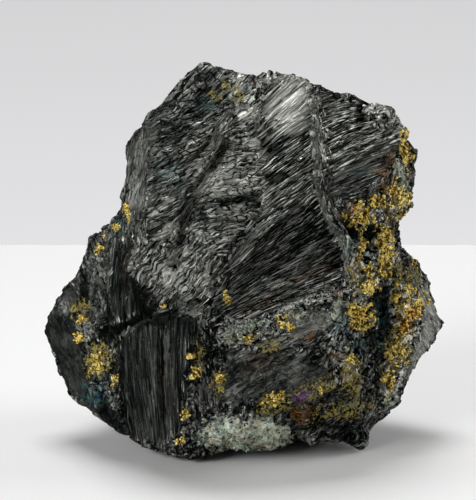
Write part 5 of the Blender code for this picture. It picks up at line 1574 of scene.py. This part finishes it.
def scattered(data, count, draw):
    """Places spread evenly at random over a mesh of triangles, with the smooth normals there."""
    points, normals = mesh_arrays(data)
    corners = np.empty(len(data.loop_triangles) * 3, np.int64)
    data.loop_triangles.foreach_get("vertices", corners)
    corners = corners.reshape(-1, 3)
    first, second, third = (points[corners[:, side]] for side in range(3))
    area = np.linalg.norm(np.cross(second - first, third - first), axis=1)
    chosen = draw.choice(len(corners), count, p=area / area.sum())
    one, two = np.sqrt(draw.random(count)), draw.random(count)
    shares = np.stack([1.0 - one, one * (1.0 - two), one * two], axis=1)[:, :, None]
    spots = (points[corners[chosen]] * shares).sum(axis=1)
    aims = (normals[corners[chosen]] * shares).sum(axis=1)
    return spots, aims / np.linalg.norm(aims, axis=1)[:, None]


def lie_of_grain(places, zone):
    """The direction of a zone's blades at each place, in radians from level."""
    lean = np.full(len(places), math.radians(zone["turn"]))
    if zone["guides"]:
        field = field_through(GUIDES[zone["guides"]])
        here = field(places)
        slope_across = field(places + (0.4, 0.0)) - here
        slope_up = field(places + (0.0, 0.4)) - here
        lean = np.arctan2(-slope_across, slope_up)
        lean += np.pi * np.round((math.radians(zone["turn"]) - lean) / np.pi)
    return lean + SHARD_SWAY * zone["waver"] * rough(places / SWAY_SIZE, 2, 61)


def laid_out(spots, aims, zones):
    """For each spot the zone that it lies in, or -1, and the direction in space of the grain there."""
    facing, behind = sides(spots, aims)
    eye, _, _, right, upward = (np.array(vector) for vector in sight())
    ray = spots - eye
    ray /= np.linalg.norm(ray, axis=1)[:, None]
    zone_of = np.full(len(spots), -1)
    stray = np.stack([wave(spots / UNIT / 9.0, 70 + axis) for axis in range(3)], axis=1)
    along = np.array(SIDE_GRAIN) + 0.5 * stray
    for side, share, places, sideways, up in (
        ("front", facing, in_picture(spots), right, upward),
        ("back", behind, square_on(spots), np.array((1.0, 0.0, 0.0)), np.array((0.0, 0.0, 1.0))),
    ):
        looks = ray if side == "front" else np.broadcast_to((0.0, -1.0, 0.0), spots.shape)
        for index, zone in enumerate(zones):
            if zone["side"] != side:
                continue
            here = np.nonzero((share > SHARD_FACING) & (in_zone(places, zone) > 0.0))[0]
            if len(here) == 0:
                continue
            lean = lie_of_grain(places[here], zone)[:, None]
            flat = np.cos(lean) * sideways + np.sin(lean) * up
            tilt = (flat * aims[here]).sum(axis=1) / (looks[here] * aims[here]).sum(axis=1)
            along[here] = flat - looks[here] * tilt[:, None]
            zone_of[here] = index
    along -= aims * (along * aims).sum(axis=1)[:, None]
    return zone_of, along / np.linalg.norm(along, axis=1)[:, None]


def laid_shards(template, ground, spots, aims, along, sizes, draw):
    """One mesh of many shards that lie on the ground along a direction.

    The ground is a BVH of the rock. Sizes holds each shard's half length, half width, rise above the rock
    and depth in it, in metres. Each shard leans a little to one side and has corners of its own.
    """
    corners, triangles = template
    count = len(spots)
    across = np.cross(aims, along)
    stations = np.unique(corners[:, 0].round(5))
    points = np.empty((count, len(corners), 3))
    lean = draw.uniform(-1.0, 1.0, count)
    spin = draw.uniform(-1.0, 1.0, count)
    for station in stations:
        members = np.nonzero(abs(corners[:, 0] - station) < 1e-4)[0]
        middles = spots + along * (sizes[:, :1] * station)
        middles = middles + across * (sizes[:, :1] * station * SHARD_TURN * spin[:, None])
        feet = np.empty((count, 3))
        ups = np.empty((count, 3))
        for index, middle in enumerate(middles):
            foot, up, _, _ = ground.find_nearest(middle)
            feet[index] = foot
            ups[index] = up
        ups = ups * 0.4 + aims * 0.6
        ups /= np.linalg.norm(ups, axis=1)[:, None]
        for member in members:
            _, side, height = corners[member]
            side = side + draw.uniform(-SHARD_CHIP, SHARD_CHIP, count)
            rise = np.where(height > 0.0, sizes[:, 2] * height * draw.uniform(0.7, 1.2, count), -sizes[:, 3])
            rise = rise + sizes[:, 1] * SHARD_LEAN * lean * side
            points[:, member] = feet + across * (sizes[:, 1] * side)[:, None] + ups * rise[:, None]
    return points, triangles


def laid_grains(template, spots, aims, sizes, draw):
    """One mesh of many little crystals half sunk in the rock, each turned and stretched in its own way."""
    corners, triangles = template
    turns = draw.normal(size=(len(spots), 3, 3))
    turns, _ = np.linalg.qr(turns)
    turns *= np.sign(np.linalg.det(turns))[:, None, None]
    stretch = draw.uniform(0.6, 1.3, (len(spots), 1, 3))
    chips = draw.uniform(0.8, 1.2, (len(spots), len(corners), 1))
    points = np.einsum("nij,nkj->nki", turns, corners[None] * stretch * chips) * sizes[:, None, None]
    return spots[:, None, :] + points + aims[:, None, :] * (sizes * GRAIN_LIFT)[:, None, None], triangles


def copies_mesh(name, points, triangles):
    """Mesh data of many copies of a template."""
    count, corners = points.shape[:2]
    faces = (triangles[None] + corners * np.arange(count)[:, None, None]).reshape(-1, 3)
    data = bpy.data.meshes.new(name)
    data.vertices.add(count * corners)
    data.vertices.foreach_set("co", points.ravel())
    data.loops.add(faces.size)
    data.loops.foreach_set("vertex_index", faces.ravel())
    data.polygons.add(len(faces))
    data.polygons.foreach_set("loop_start", np.arange(0, faces.size, 3))
    data.polygons.foreach_set("loop_total", np.full(len(faces), 3))
    data.update(calc_edges=True)
    data.validate()
    return data


def shard_piece(name, ground_data, ground, draw, kinds, finish):
    """A piece made of all shards on these kinds of zone, spread over the rock.

    The kinds are pairs of a zone's shards and side. The shards carry the ore's own attributes, so the same
    finish covers them: what they are made of, and how they lie in the grain, each in a place of its own.
    """
    zones = list(ZONES.values()) + [ELSEWHERE]
    spots, aims = scattered(ground_data, SHARD_TRIALS, draw)
    zone_of, along = laid_out(spots, aims, list(ZONES.values()))
    shares = make_up(spots, aims)
    keep = draw.random(len(spots)) / (1.0 - CALM_SHARDS * shares["calm"])
    sizes = np.zeros((len(spots), 4))
    lies = np.ones((len(spots), 3))
    chosen = np.zeros(len(spots), bool)
    for index, zone in enumerate(zones):
        here = zone_of == (index if index < len(ZONES) else -1)
        if (zone["shards"], zone["side"]) not in kinds:
            continue
        here &= keep < zone["density"] / TRIALS_PER_AREA
        chosen |= here
        lies[here] = zone["width"], zone["length"], zone["fibre"]
        for column, (low, high) in enumerate((zone["half_length"], zone["half_width"], zone["rise"])):
            sizes[here, column] = (low + (high - low) * draw.random(here.sum()) ** 1.5) * UNIT
    chosen &= (spots[:, 2] > SHARDS_ABOVE) & (shares["brass"] * lies[:, 2] < 0.5)
    sizes[:, 3] = SHARD_DEPTH * UNIT
    template = shard_template(*SHARD_SHAPES[kinds[0][0]])
    spots, aims, along, sizes = spots[chosen], aims[chosen], along[chosen], sizes[chosen]
    points, triangles = laid_shards(template, ground, spots, aims, along, sizes, draw)
    numbers = draw.random(len(spots))
    data = copies_mesh(name, points, triangles)
    shares = {key: np.repeat(share[chosen], points.shape[1]) for key, share in shares.items()}
    corners = template[0]
    shares["grain"] = np.repeat(numbers, len(corners))
    shares["fibre"] = np.repeat(lies[chosen, 2], len(corners))
    for key, column, size, lie in (("across", 1, 1, lies[chosen, 0]), ("along", 0, 0, lies[chosen, 1])):
        places = corners[None, :, column] * (sizes[:, size] / UNIT / lie)[:, None]
        shares[key] = (places + SHARD_APART * numbers[:, None]).ravel()
    store(data, shares)
    return placed_piece(name, data, finish)


def crust_piece(name, ground_data, ground, finish):
    """A piece made of all small crystals of one mineral, thickest in the middle of its patches."""
    density, smallest, largest, seed = CRUSTS[name]
    draw = np.random.default_rng(seed)
    spots, aims = scattered(ground_data, CRUST_TRIALS, draw)
    shares = make_up(spots, aims)
    chosen = (draw.random(len(spots)) < shares[name] * density) & (spots[:, 2] > SHARDS_ABOVE)
    spots, aims = spots[chosen], aims[chosen]
    sizes = (smallest + (largest - smallest) * draw.random(len(spots)) ** 2.0) * UNIT
    points, triangles = laid_grains(grain_template(), spots, aims, sizes, draw)
    data = copies_mesh(name, points, triangles)
    store(data, {"amber": np.repeat(shares["amber"][chosen], points.shape[1])})
    return placed_piece(name + "_crystals", data, finish)


def aimed(item, place, target):
    """Puts a lamp or camera in place and turns it to look at the target."""
    item.location = place
    item.rotation_euler = (Vector(target) - Vector(place)).to_track_quat("-Z", "Y").to_euler()


def soft_lamp(name, place, size, power):
    """A square area lamp aimed at the middle of the specimen."""
    data = bpy.data.lights.new(name, "AREA")
    data.size = size
    data.energy = power
    lamp = bpy.data.objects.new(name, data)
    bpy.context.scene.collection.objects.link(lamp)
    aimed(lamp, place, (0.0, 0.0, AIM_HEIGHT))


def sheet_of(name, corners, material):
    """A flat sheet through four corners."""
    mesh = bmesh.new()
    mesh.faces.new([mesh.verts.new(corner) for corner in corners])
    data = bpy.data.meshes.new(name)
    mesh.to_mesh(data)
    mesh.free()
    data.materials.append(material)
    sheet = bpy.data.objects.new(name, data)
    bpy.context.scene.collection.objects.link(sheet)


def backdrop(stage):
    """A pale table top, and a wall so far behind it that a camera can stand behind the specimen.

    The wall is out of the lamps' reach, so it glows faintly with painted light, brightest at its foot and
    fading upwards.
    """
    left, right = -FLOOR_HALF_WIDTH, FLOOR_HALF_WIDTH
    front, edge, wall = -FLOOR_FRONT, FLOOR_BACK, WALL_PLACE
    floor = Finish("floor", roughness=0.9, base_color=stage.floor_colour).material
    sheet_of("floor", [(left, front, 0), (right, front, 0), (right, edge, 0), (left, edge, 0)], floor)
    low = -TABLE_HEIGHT
    sheet_of("table edge", [(left, edge, 0), (right, edge, 0), (right, edge, low), (left, edge, low)], floor)
    plain = Finish("wall", roughness=0.9, base_color=stage.wall_paint, emission_strength=stage.wall_glow)
    height = plain.node("ShaderNodeSeparateXYZ", {}, {0: plain.place()}, 2)
    fade = ((height - WALL_FADE[0]) / (WALL_FADE[1] - WALL_FADE[0])).within()
    plain.paint(emission_color=plain.blend(stage.wall_glow_foot, stage.wall_glow_high, fade))
    low, high = WALL_LOW, WALL_HIGH
    corners = [(left, wall, low), (right, wall, low), (right, wall, high), (left, wall, high)]
    sheet_of("wall", corners, plain.material)


def camera():
    """The viewer of the photograph: level with the eye that the layout is drawn from."""
    eye, aim, _, _, _ = sight()
    data = bpy.data.cameras.new("camera")
    data.sensor_width = SENSOR
    data.lens = SENSOR * VIEW_DISTANCE / (IMAGE_HEIGHT * UNITS_PER_PIXEL * UNIT)
    data.clip_start = 0.01
    data.clip_end = 10.0
    item = bpy.data.objects.new("camera", data)
    bpy.context.scene.collection.objects.link(item)
    aimed(item, eye, aim)
    bpy.context.scene.camera = item


def studio_world(stage):
    """Faint even light from all sides."""
    world = bpy.data.worlds.new("studio")
    world.use_nodes = True
    background = world.node_tree.nodes["Background"]
    background.inputs["Color"].default_value = (*stage.air_colour, 1.0)
    background.inputs["Strength"].default_value = stage.air_strength
    bpy.context.scene.world = world


def colour_setting(name, description, default):
    """A colour that a user can change."""
    default = (*default, 1.0)
    return bpy.props.FloatVectorProperty(
        name=name, description=description, default=default, size=4, subtype="COLOR", min=0.0, max=1.0
    )


class OreLooks(bpy.types.PropertyGroup):
    """Colours of the specimen."""

    # The ore runs from dark, which is also painted shade in its gaps and hollows, to light, which is also
    # painted light on facets turned to the lamps
    ore_dark: colour_setting("Dark ore", "Colour of the ore in its hollows", (0.002, 0.0042, 0.0034))
    ore_light: colour_setting("Light ore", "Colour of the ore on bright cleavage faces", (0.84, 0.855, 0.78))
    teal: colour_setting("Teal film", "Colour of the green film on parts of the ore", (0.06, 0.22, 0.15))
    blue: colour_setting("Blue film", "Colour of the blue film on parts of the ore", (0.03, 0.11, 0.19))
    rust: colour_setting("Rust", "Tint of the red-brown film on parts of the ore", (0.62, 0.38, 0.30))
    bronze: colour_setting("Bronze", "Colour of the dull gold specks on the ore", (0.33, 0.27, 0.08))
    amber: colour_setting("Amber", "Colour of the orange-brown crystals", (0.34, 0.15, 0.03))
    violet: colour_setting("Violet", "Colour of the violet tarnish on a blade", (0.11, 0.05, 0.17))
    brass: colour_setting("Brass", "Colour of the brassy crystals", (0.90, 0.69, 0.13))
    # Pale brass: paler crystals, and painted highlights on them
    brass_pale_highlight: colour_setting("Pale brass", "Colour of the brightest brassy crystals", (1.0, 0.85, 0.36))
    brass_orange: colour_setting("Orange brass", "Colour of the warmly tarnished ones", (0.88, 0.44, 0.05))
    # Dull brass: tarnish, and painted shade between the crystals
    brass_tarnish_and_shade: colour_setting("Dull brass", "Colour of the tarnished brassy crystals", (0.10, 0.06, 0.014))
    quartz: colour_setting("Quartz", "Colour of the palest crystals of the matrix", (0.72, 0.82, 0.69))
    quartz_beige: colour_setting("Beige quartz", "Colour of its stained crystals", (0.58, 0.54, 0.39))
    quartz_dull: colour_setting("Dull quartz", "Colour of its clear grey crystals", (0.05, 0.075, 0.06))


class OreBody(bpy.types.PropertyGroup):
    """Sizes of the specimen's detail."""

    fineness: bpy.props.FloatProperty(
        name="Fineness", description="Size of the smallest form carved into the rock", default=0.0002,
        min=0.0001, max=0.002, unit="LENGTH", precision=5,
    )


class StageLooks(bpy.types.PropertyGroup):
    """Floor and light."""

    floor_colour: colour_setting("Floor", "Colour of the floor", (0.9, 0.9, 0.9))
    wall_paint: colour_setting("Wall", "Colour of the wall behind the specimen", (0.2, 0.2, 0.2))
    # The wall's glow is painted light: lighter at its foot, fading upwards
    wall_glow_high: colour_setting("Wall light", "Colour of the wall's own light high up", (0.62, 0.62, 0.63))
    wall_glow_foot: colour_setting("Wall foot light", "Colour of the same low down", (0.75, 0.75, 0.765))
    wall_glow: bpy.props.FloatProperty(
        name="Wall glow", description="Strength of the wall's own light", default=0.92, min=0.0, max=5.0
    )
    air_colour: bpy.props.FloatVectorProperty(
        name="Air colour", description="Colour of the light from all sides", default=(1.0, 1.0, 1.0), size=3,
        subtype="COLOR", min=0.0, max=1.0,
    )
    air_strength: bpy.props.FloatProperty(
        name="Air strength", description="Strength of the even light", default=0.07, min=0.0, max=5.0
    )
    lamp_power: bpy.props.FloatProperty(
        name="Lamp power", description="Power of the main soft lamp", default=2.95, min=0.0, unit="POWER"
    )


class SPECIMEN_OT_body(bpy.types.Operator):
    """Builds the rock with its blades, plates and crusts."""

    bl_idname = "specimen.body"
    bl_label = "Rock"

    def execute(self, context):
        scene = context.scene
        data = ore_mesh(scene.ore_body)
        piece = placed_piece("ore", data, ore_finish(scene.ore_looks))
        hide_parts("wolframite")
        return {"FINISHED"}


class SPECIMEN_OT_shards(bpy.types.Operator):
    """Lays blades and plates of ore over the rock."""

    bl_idname = "specimen.shards"
    bl_label = "Blades and plates"

    def execute(self, context):
        finish = bpy.data.materials.get("black ore") or ore_finish(context.scene.ore_looks)
        data, ground = ground_mesh()
        kinds = {
            "blades": [("blades", "front"), ("blades", "back")],
            "plates": [("plates", "front")],
            "rear_plates": [("plates", "any")],
        }
        for seed, (name, chosen) in enumerate(kinds.items(), SHARD_SEED):
            shard_piece(name, data, ground, np.random.default_rng(seed), chosen, finish)
        return {"FINISHED"}


class SPECIMEN_OT_crusts(bpy.types.Operator):
    """Grows the brassy and the pale crystals on the rock."""

    bl_idname = "specimen.crusts"
    bl_label = "Crystal crusts"

    def execute(self, context):
        looks = context.scene.ore_looks
        data, ground = ground_mesh()
        for name, finish, slot in (
            ("brass", brass_finish(looks), "chalcopyrite"),
            ("pale", quartz_finish(looks), "matrix"),
        ):
            crust_piece(name, data, ground, finish)
        return {"FINISHED"}


class SPECIMEN_OT_stage(bpy.types.Operator):
    """Builds the floor, the light and the camera."""

    bl_idname = "specimen.stage"
    bl_label = "Stage"

    def execute(self, context):
        stage = context.scene.stage_looks
        backdrop(stage)
        soft_lamp("top lamp", (-0.06, 0.17, 0.68), 0.3, stage.lamp_power)
        soft_lamp("left lamp", (-0.42, -0.42, 0.28), 0.3, stage.lamp_power * 0.8)
        soft_lamp("right lamp", (0.62, 0.1, 0.40), 0.4, stage.lamp_power * 0.65)
        studio_world(stage)
        camera()
        context.scene.view_settings.view_transform = "Standard"
        return {"FINISHED"}


class SPECIMEN_PT_sidebar(bpy.types.Panel):
    """Lists the specimen's building steps and settings."""

    bl_idname = "SPECIMEN_PT_sidebar"
    bl_label = "Wolframite specimen"
    bl_space_type = "VIEW_3D"
    bl_region_type = "UI"
    bl_category = "Wolframite"

    def draw(self, context):
        for step in STEPS:
            self.layout.operator(step.bl_idname)
        for name in SETTINGS:
            group = getattr(context.scene, name)
            for setting in group.bl_rna.properties:
                if setting.identifier not in ("name", "rna_type"):
                    self.layout.prop(group, setting.identifier)


SETTINGS = {"ore_looks": OreLooks, "ore_body": OreBody, "stage_looks": StageLooks}
STEPS = (SPECIMEN_OT_body, SPECIMEN_OT_shards, SPECIMEN_OT_crusts, SPECIMEN_OT_stage)


def register():
    """Makes the settings, the steps and the panel known."""
    for group in (*SETTINGS.values(), *STEPS, SPECIMEN_PT_sidebar):
        bpy.utils.register_class(group)
    for name, group in SETTINGS.items():
        setattr(bpy.types.Scene, name, bpy.props.PointerProperty(type=group))


def unregister():
    """Takes them away again."""
    for name in SETTINGS:
        delattr(bpy.types.Scene, name)
    for group in (SPECIMEN_PT_sidebar, *STEPS, *SETTINGS.values()):
        bpy.utils.unregister_class(group)


def main():
    """Builds the specimen and its stage."""
    register()
    bpy.ops.specimen.body()
    bpy.ops.specimen.shards()
    bpy.ops.specimen.crusts()
    bpy.ops.specimen.stage()


if __name__ == "__main__":
    main()
